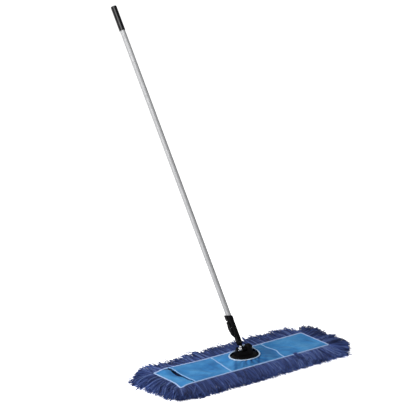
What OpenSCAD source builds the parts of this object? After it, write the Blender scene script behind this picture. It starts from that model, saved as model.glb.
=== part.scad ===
// Dust mop: a flat yarn head on a sprung wire frame, a two-axis swivel base
// and a long tube handle with a quick-release socket.
// Millimetres. X runs along the head, +Y is the side the handle leans to and
// +Z is up. The origin is on the floor, under the middle of the head.

/* [Head] */
// Length of the cloth pad inside its edge binding
pad_l = 796; // [780:2:810]
// Width of the cloth pad inside its edge binding
pad_w = 186; // [184:1:190]
// Width of the edge binding seen from above
bind_w = 5; // [4:0.5:6]
// How far the yarn fringe reaches past the binding
fringe_l = 94; // [80:1:95]
// Height of the tufted yarn under the backing cloth
pile_h = 20.8; // [20:0.2:22]
// Number of tufted yarn rows on the underside
pile_rows = 5; // [3:2:5]
// Width of one tufted yarn row
pile_row_w = 22; // [16:1:26]
// Thickness of the cloth
cloth_t = 1.4; // [1:0.1:1.6]
// X of the slit the frame goes in through
slit_x = -327; // [-335:1:-320]
// Width of the slit
slit_w = 6; // [5:0.5:8]
// Left cross seam, X at the front edge
seam_lf = -131; // [-135:1:-125]
// Left cross seam, X at the back edge
seam_lb = -99; // [-105:1:-95]
// Right cross seam, X at the front edge
seam_rf = 153; // [148:1:160]
// Right cross seam, X at the back edge
seam_rb = 172; // [165:1:178]
// Width of the seam tapes
tape_w = 6; // [4:0.5:8]

/* [Base] */
// Length of the oval centre plate
base_l = 132; // [130:1:134]
// Width of the oval centre plate
base_w = 99; // [98:1:101]
// X of the middle of the centre plate
base_x = 11.5; // [11:0.5:13]
// Width of the binding ring round the opening
ring_w = 8; // [7:0.5:9]
// Height of the middle of the binding ring
ring_z = 49; // [48:0.5:50]
// How much the ring's back edge stands above its middle
ring_tilt = 2; // [1:0.5:4]
// How far the ring stands up behind the hinge
ring_back = 12; // [0:1:12]
// How much the ring's left end hangs below its middle
ring_drop = 2; // [0:0.5:4]
// Diameter of the frame wire
wire_d = 6; // [5:0.5:6]

/* [Joint] */
// Height of the tilt axis above the floor
pivot_z = 79; // [78:0.5:80]
// X of the handle's centre line
pivot_x = -7; // [-8:0.5:-6.5]
// Lean of the handle to the back, in degrees
lean = 34; // [20:1:45]
// Diameter of the hinge pin and of the yoke bolt
pin_d = 6; // [5.6:0.1:6]
// Distance from the tilt axis to the side swing axis
yoke_rise = 29; // [28.5:0.5:31]
// Side offset of the fork from the handle's centre line
yoke_x = 2.5; // [2:0.5:3]
// Running clearance of the pins, on the radius
pin_gap = 0.05; // [0.02:0.01:0.08]

/* [Handle] */
// Outside diameter of the tube (15/16 inch)
tube_d = 23.8; // [23:0.1:24]
// Wall of the tube
tube_wall = 1.2; // [1:0.1:1.5]
// Length of the tube (60 inch)
tube_l = 1524; // [1200:1:1530]
// Outside diameter of the socket
socket_d = 30; // [29.5:0.1:31]
// Outside diameter of the grip
grip_d = 26.8; // [26:0.1:28]
// Length of the grip
grip_l = 116; // [100:1:130]

/* [Lever] */
// Width of the release lever
lever_w = 13; // [12:0.2:13.2]
// Diameter of the lever pin
lever_pin_d = 3; // [2.8:0.1:3]

/* [Hidden] */
$fn = 64;

// Heights of the layers of the pad
z_back = pile_h + 0.2;               // underside of the backing cloth
z_clamp = z_back + cloth_t + 0.4;    // underside of the clamp plate
z_split = z_clamp + 6;               // joint of clamp plate and centre plate
z_top = z_split + wire_d/2 + 0.6;    // underside of the top cloth
z_tape = z_top + cloth_t + 0.1;      // underside of the tapes
z_bind0 = z_back - 1;                // bottom of the edge binding
z_bind1 = z_top + cloth_t + 0.8;     // top of the edge binding
px = pad_l/2;
py = pad_w/2;
ox = px + bind_w;
oy = py + bind_w;
pin_r = pin_d/2;
tube_r = tube_d/2;
ba = base_l/2;
bb = base_w/2;
ring_a = ba + 1 + ring_w/2;
ring_b = bb + 1 + ring_w/2;
tube_z = 70.2;                       // lower end of the tube on the handle axis
top_z = tube_z + tube_l;
lever_px = -18.2;                    // lever axis, on the handle
lever_pz = 98;
tooth_z = 118.5;
black = "#17171a";
cloth = "#4a8fc4";
tape = "#b4c2ea";
yarn = "#39427e";
steel = "#c9ccd0";

// ---------- helpers ----------

// the handle's own frame: Z up the tube from the tilt axis
module on_handle() translate([pivot_x, 0, pivot_z]) rotate([-lean, 0, 0]) children();

// a flat shape in Y and Z, pushed along X from x0 to x1
module along_x(x0, x1) translate([x0, 0, 0]) rotate([90, 0, 90]) linear_extrude(x1 - x0) children();

// a flat shape in X and Z, pushed along Y from -w/2 to w/2
module along_y(w) translate([0, w/2, 0]) rotate([90, 0, 0]) linear_extrude(w) children();

// a round bar along X
module bar_x(r, x0, x1, fn = 64) translate([x0, 0, 0]) rotate([0, 90, 0]) cylinder(r = r, h = x1 - x0, $fn = fn);

// a round bar along Y
module bar_y(r, y0, y1, fn = 64) translate([0, y0, 0]) rotate([-90, 0, 0]) cylinder(r = r, h = y1 - y0, $fn = fn);

// side faces between rings of n points, with flat ends
function skin_faces(m, n) = concat(
  [[for (k = [0:n - 1]) k]],
  [for (i = [0:m - 2], k = [0:n - 1]) [i*n + k, (i + 1)*n + (k + 1)%n, i*n + (k + 1)%n]],
  [for (i = [0:m - 2], k = [0:n - 1]) [i*n + k, (i + 1)*n + k, (i + 1)*n + (k + 1)%n]],
  [[for (k = [n - 1:-1:0]) (m - 1)*n + k]]);

// side faces of rings that close on themselves
function loop_faces(m, n) = concat(
  [for (i = [0:m - 1], k = [0:n - 1]) [i*n + k, ((i + 1)%m)*n + (k + 1)%n, i*n + (k + 1)%n]],
  [for (i = [0:m - 1], k = [0:n - 1]) [i*n + k, ((i + 1)%m)*n + k, ((i + 1)%m)*n + (k + 1)%n]]);

// a domed oval body from a list of [half length, half width, height]
module oval_stack(rows, n = 48)
  polyhedron([for (s = rows, k = [0:n - 1]) [base_x + s[0]*cos(360*k/n), s[1]*sin(360*k/n), s[2]]],
             skin_faces(len(rows), n), convexity = 4);

// an oval outline round the middle of the base
module oval(a, b, n = 48) translate([base_x, 0]) polygon([for (k = [0:n - 1]) [a*cos(360*k/n), b*sin(360*k/n)]]);

// a coil along X: mean radius, wire radius, start, end, turns
module coil_x(rm, rw, x0, x1, turns, n = 8, steps = 20) {
  m = turns*steps + 1;
  pts = [for (i = [0:m - 1], k = [0:n - 1])
    let (t = 360*i/steps, a = -360*k/n, r = rm + rw*cos(a))
    [x0 + rw + (x1 - x0 - 2*rw)*i/(m - 1) + rw*sin(a), r*cos(t), r*sin(t)]];
  polyhedron(pts, skin_faces(m, n), convexity = 8);
}

function arc(cx, cy, r, a0, a1, n) = [for (i = [0:n]) let (a = a0 + (a1 - a0)*i/n) [cx + r*cos(a), cy + r*sin(a)]];

// one side of a wire loop, from the centre plate outwards
function wire_half(u_end, y0, y1, rb, rc) = concat(
  [[34, y0]],
  arc(78, y0 + rb, rb, -90, -45, 3),
  arc(78 + 2*rb*sin(45) + (y1 - y0 - 2*rb*(1 - cos(45))), y1 - rb, rb, 135, 90, 3),
  arc(u_end - rc, y1 - rc, rc, 90, 0, 6));
function flip(p) = [for (i = [len(p) - 1:-1:0]) [p[i][0], -p[i][1]]];

// a wire loop that leaves the centre plate, widens and closes at the far end
module wire_loop(u_end, n = 12) {
  half = wire_half(u_end, 30, py - 23, 25, 35);
  p = concat(half, flip(half));
  m = len(p);
  pts = [for (i = [0:m - 1], k = [0:n - 1])
    let (d = p[min(i + 1, m - 1)] - p[max(i - 1, 0)], t = d/norm(d), a = 360*k/n, r = wire_d/2)
    [p[i][0] - t[1]*r*cos(a), p[i][1] + t[0]*r*cos(a), r*sin(a)]];
  polyhedron(pts, skin_faces(m, n), convexity = 8);
}

// the wires' grooves in the joint of the two base plates
module wire_grooves() for (s = [-1, 1], y = [-30, 30])
  translate([base_x, y, z_split]) bar_x(wire_d/2 + 0.1, s > 0 ? 33 : -80, s > 0 ? 80 : -33);

// ---------- base ----------

module center_plate() color(black) difference() {
  union() {
    oval_stack([[ba - 4, bb - 4, z_split + 0.1], [ba, bb, 36], [ba, bb, 42], [ba - 3, bb - 3, 46],
                [ba - 9, bb - 8, 49.5], [ba - 22, bb - 20, 53]]);
    // pedestal between the lugs
    along_x(-32, 42) polygon([[-23, 45], [-15, 68.9], [15, 68.9], [23, 45]]);
    // slim left lug
    along_x(-32, -26) { polygon([[-10, 45], [10, 45], [5.3, 88], [-5.3, 88]]); translate([0, 87.5]) circle(5.6); }
    // broad right lug, a domed barrel for the pin head
    along_x(23.5, 34) { polygon([[-21, 45], [21, 45], [16.2, 84], [-16.2, 84]]); translate([0, pivot_z]) circle(17); }
    hull() {
      along_x(18, 18.6) { polygon([[-19, 45], [19, 45], [11.6, 82], [-11.6, 82]]); translate([0, pivot_z]) circle(12.4, $fn = 32); }
      along_x(24, 24.6) { polygon([[-21, 45], [21, 45], [16.2, 84], [-16.2, 84]]); translate([0, pivot_z]) circle(17, $fn = 32); }
    }
    hull() {
      along_x(33, 34) { polygon([[-21, 45], [21, 45], [16.2, 84], [-16.2, 84]]); translate([0, pivot_z]) circle(17, $fn = 32); }
      along_x(38.5, 39.9) { polygon([[-20, 45], [20, 45], [14.6, 82], [-14.6, 82]]); translate([0, pivot_z]) circle(15.2, $fn = 32); }
      along_x(41.5, 43.5) { polygon([[-17, 45], [17, 45], [10.5, 80], [-10.5, 80]]); translate([0, pivot_z]) circle(11.6, $fn = 32); }
    }
  }
  translate([0, 0, pivot_z]) {
    bar_x(pin_r - 0.5 + pin_gap, -40, -25);
    bar_x(pin_r + pin_gap, 10, 46);
    bar_x(9.5, 33.5, 46);
  }
  wire_grooves();
  for (x = [-38, 38], y = [-14, 14]) translate([base_x + x, y, z_split - 1]) cylinder(r = 2.05, h = 13);
}

module clamp_plate() color(black) difference() {
  translate([0, 0, z_clamp]) linear_extrude(z_split - 0.1 - z_clamp) oval(ba - 8, bb - 7);
  wire_grooves();
  for (x = [-38, 38], y = [-14, 14]) translate([base_x + x, y, z_clamp - 1]) {
    cylinder(r = 2.2, h = 10);
    cylinder(r1 = 5.3, r2 = 2.2, h = 3.6);
  }
}

module plate_screws() color(steel) for (x = [-38, 38], y = [-14, 14]) translate([base_x + x, y, z_clamp + 0.2]) {
  cylinder(r = 2, h = 16.6);
  cylinder(r1 = 4, r2 = 2, h = 2.2);
}

module frame_wire_left() color(steel) translate([base_x, 0, z_split]) mirror([1, 0, 0]) wire_loop(px - 10 + base_x);

module frame_wire_right() color(steel) translate([base_x, 0, z_split]) wire_loop(px - 10 - base_x);

module hinge_pin() color("#3c3d40") translate([0, 0, pivot_z]) {
  bar_x(pin_r - 0.5, -36.4, -25.8);
  bar_x(pin_r, -25.8, 33.9);
  bar_x(6.5, 33.7, 38.1, 6);
}

module pin_clip() color("#3c3d40") translate([0, 0, pivot_z]) difference() {
  bar_x(4.6, -37.4, -32.2);
  bar_x(pin_r - 0.5 + pin_gap, -36.6, -32);
}

module friction_spring() color(steel) translate([0, 0, pivot_z]) coil_x(6.4, 1.3, -25.6, -11.4, 4);

// spreads the spring's push over the left washer; its flat keeps it from turning
module pressure_plate() color(steel) translate([0, 0, pivot_z]) difference() {
  union() {
    bar_x(9.7, -11.3, -9.8);
    translate([-11.3, -6, 0]) cube([1.5, 12, 15.2]);
  }
  bar_x(pin_r + pin_gap, -13, -8);
  translate([-15, -20, -29.4]) cube([10, 40, 20]);
}

module friction_washers() color("#2b2a28") translate([0, 0, pivot_z]) for (x = [-9.7, 16.6]) difference() {
  bar_x(8.6, x, x + 1.2);
  bar_x(pin_r + pin_gap, x - 1, x + 3);
}

module barrel_cap() color(black) translate([0, 0, pivot_z]) {
  bar_x(9.4, 39.5, 43.8);
  bar_x(10.9, 43.7, 44.9);
  bar_x(8.5, 44.8, 45.9);
}

// ---------- swivel ----------

module swivel_block() color(black) on_handle() difference() {
  union() {
    bar_x(9, -1.2, 23.4);
    along_y(8.6) polygon([[0.4, 2], [17, 2], [10.4, 11], [9.5, 14], [9.5, yoke_rise], [3.5, yoke_rise], [3, 9]]);
    translate([yoke_x, 0, yoke_rise]) bar_y(7.4, -4.3, 4.3);
  }
  bar_x(pin_r + pin_gap, -10, 30);
  translate([yoke_x, 0, yoke_rise]) bar_y(pin_r + pin_gap, -10, 10);
}

module yoke_bolt() color("#3c3d40") on_handle() translate([yoke_x, 0, yoke_rise]) {
  bar_y(pin_r, -9.8, 14);
  bar_y(5.2, -11.4, -9.7);
  bar_y(4, -12.2, -11.3);
}

module yoke_nut() color("#3c3d40") on_handle() translate([yoke_x, 0, yoke_rise]) difference() {
  bar_y(5.4, 9.7, 13.6, 6);
  bar_y(pin_r + pin_gap, 5, 20);
}

module yoke_washers() color(steel) on_handle() translate([yoke_x, 0, yoke_rise]) for (y = [-5.5, 4.6]) difference() {
  bar_y(6.2, y, y + 0.9);
  bar_y(pin_r + pin_gap, y - 1, y + 3);
}

// ---------- handle ----------

module handle_socket() color(black) on_handle() difference() {
  union() {
    // fork
    for (s = [-1, 1]) translate([yoke_x, s*7.6, 0]) along_y(4)
      polygon([[-8.5, 23.5], [-4.6, 18.6], [4.5, 18], [9.2, 22], [9.2, 58], [-8.5, 58]]);
    translate([yoke_x - 8.5, -9.6, 37.8]) cube([17.7, 19.2, 21]);
    // neck that opens out to the round socket
    hull() {
      translate([yoke_x - 8.5, -9.6, 57]) cube([17.7, 19.2, 2]);
      translate([0, 0, 70]) cylinder(d = socket_d, h = 1.5, $fn = 32);
    }
    translate([0, 0, 70.5]) cylinder(d = socket_d, h = 91);
    // collar and its rib
    translate([0, 0, 134]) cylinder(d = socket_d + 1.6, h = 30);
    translate([-18.4, -7.5, 134]) cube([10, 15, 30]);
    // cheeks of the lever
    for (s = [-1, 1]) translate([0, s*8.25, 0]) along_y(2.7)
      polygon([[-9, 78], [-14.5, 78], [-19.6, 86], [-20.4, 92], [-20.4, 106], [-19.4, 112], [-14.5, 120], [-9, 120]]);
  }
  // tube bore
  translate([0, 0, tube_z - 0.2]) cylinder(r = tube_r + 0.05, h = 100);
  // room behind the lever
  translate([-22, -lever_w/2 - 0.4, 46]) cube([15.2, lever_w + 0.8, 24]);
  translate([-22, -lever_w/2 - 0.4, 68]) cube([9, lever_w + 0.8, 45]);
  // room in front of the socket where the lever's head lies
  translate([-22, -lever_w/2 - 0.4, 112]) cube([6.6, lever_w + 0.8, 18]);
  // tooth hole
  translate([0, 0, tooth_z]) bar_x(4, -24, -8);
  // slanted mouth, higher on the lever's side and at the back
  translate([0, 0, 154.2]) rotate([19.2, 11.8, 0]) translate([-40, -40, 0]) cube([80, 80, 40]);
  // spring seat
  translate([0, 0, 65]) bar_x(3.2, -10, -4.1);
  translate([lever_px, 0, lever_pz]) bar_y(lever_pin_d/2 + pin_gap, -20, 20);
  translate([yoke_x, 0, yoke_rise]) bar_y(pin_r + pin_gap, -20, 20);
}

module release_lever() color(black) on_handle() difference() {
  union() {
    along_y(lever_w) polygon([[-19.2, 128.6], [-21, 124], [-19.4, 73], [-18.9, 71.2], [-12.4, 61.3],
      [-11.4, 61.3], [-11.5, 63.2], [-13, 66], [-15.4, 68.4], [-16.4, 69.6], [-16.4, 128.6]]);
    translate([lever_px, 0, lever_pz]) bar_y(3, -lever_w/2, lever_w/2);
    translate([0, 0, tooth_z]) bar_x(3.3, -17, -10.3);
  }
  translate([lever_px, 0, lever_pz]) bar_y(lever_pin_d/2 + pin_gap, -20, 20);
}

module lever_pin() color(steel) on_handle() translate([lever_px, 0, lever_pz]) bar_y(lever_pin_d/2, -9.5, 9.5);

module lever_spring() color(steel) on_handle() translate([0, 0, 65]) coil_x(2.2, 0.4, -11.1, -4.4, 3, 8, 14);

module handle_tube() color("#b9bbbd") on_handle() difference() {
  translate([0, 0, tube_z]) cylinder(r = tube_r, h = tube_l, $fn = 96);
  translate([0, 0, tube_z - 1]) cylinder(r = tube_r - tube_wall, h = tube_l + 2, $fn = 96);
  translate([0, 0, tooth_z]) bar_x(4, -20, 0);
}

module tube_plug() color("#2a2a2d") on_handle() translate([0, 0, tube_z + 0.1]) cylinder(r = tube_r - tube_wall - 0.05, h = 24);

module hand_grip() color("#0c0c0e") on_handle() rotate_extrude($fn = 96) polygon([
  [tube_r + 0.05, top_z - grip_l + 4], [grip_d/2 - 0.5, top_z - grip_l + 4], [grip_d/2, top_z - grip_l + 5],
  [grip_d/2, top_z + 0.8], [grip_d/2 - 0.8, top_z + 2.8], [grip_d/2 - 2.6, top_z + 3.8], [0, top_z + 4],
  [0, top_z + 0.2], [tube_r + 0.05, top_z + 0.2]]);

// ---------- pad ----------

module sheet(z, pts) translate([0, 0, z]) linear_extrude(cloth_t) polygon(pts);

module backing_base() color(cloth) sheet(z_back, [[-px + 0.2, -py + 0.2], [px - 0.2, -py + 0.2], [px - 0.2, py - 0.2], [-px + 0.2, py - 0.2]]);

module end_panel() color(cloth) sheet(z_top, [[-px + 0.2, -py + 0.2], [slit_x - slit_w/2, -py + 0.2], [slit_x - slit_w/2, py - 0.2], [-px + 0.2, py - 0.2]]);

module left_panel() color(cloth) sheet(z_top, [[slit_x + slit_w/2, -py + 0.2], [seam_lf - 0.2, -py + 0.2], [seam_lb - 0.2, py - 0.2], [slit_x + slit_w/2, py - 0.2]]);

module right_panel() color(cloth) sheet(z_top, [[seam_rf + 0.2, -py + 0.2], [px - 0.2, -py + 0.2], [px - 0.2, py - 0.2], [seam_rb + 0.2, py - 0.2]]);

// lift of the binding ring at the angle a: highest at 60 degrees, behind the hinge
function ring_lift(a) = ring_back*exp(-pow((a - 60)/(a > 60 ? 25 : 42), 2));

// height of the binding ring's middle at x and y
function ring_h(x, y) = ring_z + ring_tilt*y/ring_b + ring_lift(atan2(y/ring_b, (x - base_x)/ring_a)) - ring_drop*pow(max(0, (base_x - x)/ring_a), 2);

// the middle panel: a flat rim under the tapes, then a rise to the oval opening
module middle_panel() color(cloth) {
  q = [[seam_rf - 0.2, -py + 0.2], [seam_rb - 0.2, py - 0.2], [seam_lb + 0.2, py - 0.2], [seam_lf + 0.2, -py + 0.2]];
  n = 14;
  out = [for (e = [0:3], i = [0:n - 1]) q[e] + (q[(e + 1)%4] - q[e])*i/n];
  inn = [for (o = out) let (a = atan2(o[1]/ring_b, (o[0] - base_x)/ring_a)) [base_x + ring_a*cos(a), ring_b*sin(a)]];
  rows = [for (i = [0:len(out) - 1]) let (o = out[i], c = inn[i], m = o + (c - o)*0.1, h = ring_h(c[0], c[1]) - 2.6)
    each [[o[0], o[1], z_top], [m[0], m[1], z_top], [c[0], c[1], h - cloth_t],
          [c[0], c[1], h], [m[0], m[1], z_top + cloth_t], [o[0], o[1], z_top + cloth_t]]];
  polyhedron(rows, loop_faces(len(out), 6), convexity = 6);
}

module edge_binding() color(tape) translate([0, 0, z_bind0]) for (s = [-1, 1]) {
  translate([-ox, s > 0 ? py : -oy, 0]) cube([2*ox, bind_w, z_bind1 - z_bind0]);
  translate([s > 0 ? px : -ox, -py + 0.1, 0]) cube([bind_w, pad_w - 0.2, z_bind1 - z_bind0]);
}

module opening_binding() color(tape) {
  m = 56;
  n = 8;
  polyhedron([for (i = [0:m - 1], k = [0:n - 1])
    let (t = 360*i/m, a = -360*k/n, d = ring_w/2*cos(a), x = base_x + (ring_a + d)*cos(t), y = (ring_b + d)*sin(t))
    [x, y, ring_h(x, y) + 2.1*sin(a)]], loop_faces(m, n), convexity = 6);
}

module seam_tapes() color(tape) translate([0, 0, z_tape]) linear_extrude(1) {
  for (s = [[seam_lf, seam_lb], [seam_rf, seam_rb]])
    polygon([[s[0] - tape_w/2, -py + 0.4], [s[0] + tape_w/2, -py + 0.4], [s[1] + tape_w/2, py - 0.4], [s[1] - tape_w/2, py - 0.4]]);
}

module slit_hem() color(tape) translate([slit_x + slit_w/2, -py + 0.4, z_tape]) cube([tape_w, pad_w - 0.8, 1]);

// section of the fringe, from the binding outwards
module fringe_section(rise = 0) polygon([[0.2, 17], [28, 12], [46, 5], [58, 0], [fringe_l - 3, 0], [fringe_l, 9 + rise],
  [fringe_l - 5, 21 + 0.8*rise], [fringe_l - 18, 29.5 + 0.45*rise], [36, 33 + 0.2*rise], [0.2, 32.6]]);

// a straight length of fringe; rise lifts its tips
module fringe_bar(len, rise = 0) translate([-len/2, 0, 0]) rotate([90, 0, 90]) linear_extrude(len) fringe_section(rise);

module fringe_front() color(yarn) translate([0, -oy, 0]) rotate(180) fringe_bar(2*ox);

module fringe_back() color(yarn) translate([0, oy, 0]) fringe_bar(2*ox, 14);

module fringe_left() color(yarn) translate([-ox, 0, 0]) rotate(90) fringe_bar(2*oy);

module fringe_right() color(yarn) translate([ox, 0, 0]) rotate(-90) fringe_bar(2*oy, 22);

module fringe_corners() color(yarn) for (c = [[ox + 0.2, oy + 0.2, 0], [-ox - 0.2, oy + 0.2, 90], [-ox - 0.2, -oy - 0.2, 180], [ox + 0.2, -oy - 0.2, 270]])
  translate([c[0], c[1], 0]) rotate(c[2]) rotate_extrude(angle = 90, $fn = 96) fringe_section();

module yarn_pile() color(yarn) for (i = [0:pile_rows - 1])
  translate([-px + 8, (i - (pile_rows - 1)/2)*(pad_w - 34)/(pile_rows - 1) - pile_row_w/2, 0]) cube([pad_l - 16, pile_row_w, pile_h]);

// ---------- drawing ----------

center_plate();
clamp_plate();
plate_screws();
frame_wire_left();
frame_wire_right();
hinge_pin();
pin_clip();
friction_spring();
pressure_plate();
friction_washers();
barrel_cap();
swivel_block();
yoke_bolt();
yoke_nut();
yoke_washers();
handle_socket();
release_lever();
lever_pin();
lever_spring();
handle_tube();
tube_plug();
hand_grip();
backing_base();
end_panel();
left_panel();
middle_panel();
right_panel();
edge_binding();
opening_binding();
seam_tapes();
slit_hem();
fringe_front();
fringe_back();
fringe_left();
fringe_right();
fringe_corners();
yarn_pile();
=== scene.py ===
"""Looks of the dust mop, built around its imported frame. Lengths below are millimetres, and metres once they are in a mesh."""

import math

import bpy
import numpy as np
from mathutils import Matrix, Vector


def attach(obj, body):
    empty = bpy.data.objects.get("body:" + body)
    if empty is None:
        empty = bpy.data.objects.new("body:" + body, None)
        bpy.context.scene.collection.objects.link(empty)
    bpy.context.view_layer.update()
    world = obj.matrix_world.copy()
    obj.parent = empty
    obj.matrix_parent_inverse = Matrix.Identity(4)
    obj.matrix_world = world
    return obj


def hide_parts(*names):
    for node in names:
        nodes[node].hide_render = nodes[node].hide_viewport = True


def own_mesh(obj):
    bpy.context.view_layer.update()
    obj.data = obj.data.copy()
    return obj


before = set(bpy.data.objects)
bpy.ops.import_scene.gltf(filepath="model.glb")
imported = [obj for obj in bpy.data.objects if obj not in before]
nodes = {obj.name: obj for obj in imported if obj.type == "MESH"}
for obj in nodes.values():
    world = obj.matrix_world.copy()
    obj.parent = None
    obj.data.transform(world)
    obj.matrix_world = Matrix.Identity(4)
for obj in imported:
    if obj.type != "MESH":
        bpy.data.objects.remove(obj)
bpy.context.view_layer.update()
scene = bpy.context.scene
MM = 0.001

# The pad, as in the CAD model
PX, PY = 398.0, 93.0  # half size inside the binding
OX, OY = 403.0, 98.0  # half size outside the binding
Z_CLOTH, CT = 33.1, 1.4  # middle of the top cloth, and its thickness
Z_BACK = 21.7  # middle of the backing cloth
SLIT_X = -327.0
SEAM_L, SEAM_R = (-131.0, -99.0), (153.0, 172.0)  # x at the front and at the back
BASE_X, RING_A, RING_B = 11.5, 71.0, 54.5
RING_Z, RING_TILT, RING_BACK, RING_DROP = 49.0, 2.0, 18.5, 2.0  # the soft tape stands a little taller at the back than the solid one
LEAN = math.radians(34.0)
PIVOT = np.array([-7.0, 0.0, 79.0])
HX = np.array([1.0, 0.0, 0.0])
HY = np.array([0.0, math.cos(LEAN), -math.sin(LEAN)])
HZ = np.array([0.0, math.sin(LEAN), math.cos(LEAN)])


# ---------- camera, floor and light ----------


def camera():
    """A long lens at the photograph's angle. The point 0.6 m over the head's middle sits right of and below the picture's middle."""
    a, e, far, f_px = math.radians(-38.35), math.radians(18.14), 12.6, 3000.0
    back = Vector((math.sin(a) * math.cos(e), -math.cos(a) * math.cos(e), math.sin(e)))
    right = Vector((math.cos(a), math.sin(a), 0))
    up = right.cross(-back)
    place = Vector((0, 0, 0.6)) + back * far
    look = (-back * f_px - right * 32.40 + up * 22.31).normalized()
    up = (up - look * up.dot(look)).normalized()
    right = look.cross(up)
    data = bpy.data.cameras.new("camera")
    data.sensor_fit, data.sensor_width = "HORIZONTAL", 36.0
    data.lens = f_px / 420 * 36
    data.clip_start, data.clip_end = 0.1, 100
    cam = bpy.data.objects.new("camera", data)
    scene.collection.objects.link(cam)
    turn = Matrix((right, up, -look)).transposed().to_4x4()
    cam.matrix_world = Matrix.Translation(place) @ turn
    scene.camera = cam


def area_light(name, place, aim, size, watts, colour=(1, 1, 1)):
    data = bpy.data.lights.new(name, "AREA")
    data.shape, data.size, data.size_y = "RECTANGLE", size[0], size[1]
    data.energy, data.color = watts, colour
    ob = bpy.data.objects.new(name, data)
    scene.collection.objects.link(ob)
    d = Vector(aim) - Vector(place)
    ob.matrix_world = Matrix.Translation(place) @ d.to_track_quat("-Z", "Y").to_matrix().to_4x4()
    return ob


def studio():
    me = bpy.data.meshes.new("floor")
    r, z = 30.0, -0.0004
    me.from_pydata([(-r, -r, z), (r, -r, z), (r, r, z), (-r, r, z)], [], [(0, 1, 2, 3)])
    floor = bpy.data.objects.new("floor", me)
    scene.collection.objects.link(floor)
    m = bpy.data.materials.new("floor_white")
    m.use_nodes = True
    p = m.node_tree.nodes["Principled BSDF"]
    p.inputs["Base Color"].default_value = (0.9, 0.9, 0.9, 1)
    p.inputs["Roughness"].default_value = 1.0
    p.inputs["Specular IOR Level"].default_value = 0.0
    p.inputs["Emission Color"].default_value = (1, 1, 1, 1)
    p.inputs["Emission Strength"].default_value = 0.9
    me.materials.append(m)

    # a white surround that is greyer on the far right side
    w = bpy.data.worlds.new("surround")
    scene.world = w
    w.use_nodes = True
    nt = w.node_tree
    nt.nodes.clear()
    out = nt.nodes.new("ShaderNodeOutputWorld")
    bg = nt.nodes.new("ShaderNodeBackground")
    geo = nt.nodes.new("ShaderNodeTexCoord")
    dot = nt.nodes.new("ShaderNodeVectorMath")
    dot.operation = "DOT_PRODUCT"
    dot.inputs[1].default_value = (0.86, -0.45, 0.0)
    ramp = nt.nodes.new("ShaderNodeMapRange")
    ramp.interpolation_type = "SMOOTHSTEP"
    ramp.inputs["From Min"].default_value = -0.35
    ramp.inputs["From Max"].default_value = 0.75
    ramp.inputs["To Min"].default_value = 0.40
    ramp.inputs["To Max"].default_value = 0.16
    nt.links.new(geo.outputs["Generated"], dot.inputs[0])
    nt.links.new(dot.outputs["Value"], ramp.inputs["Value"])
    nt.links.new(ramp.outputs["Result"], bg.inputs["Strength"])
    nt.links.new(bg.outputs[0], out.inputs[0])

    # a tall softbox at the left, a broad one overhead at the left
    area_light("key", (-3.2, -0.5, 1.8), (0.0, 0.25, 0.75), (0.7, 2.4), 58)
    area_light("top", (-1.1, 0.35, 2.7), (-0.1, 0.0, 0.1), (2.2, 1.4), 40)

    scene.view_settings.view_transform = "Standard"
    scene.view_settings.look = "None"
    scene.view_settings.exposure = 0.0
    scene.view_settings.gamma = 1.0


# ---------- node materials ----------


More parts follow.
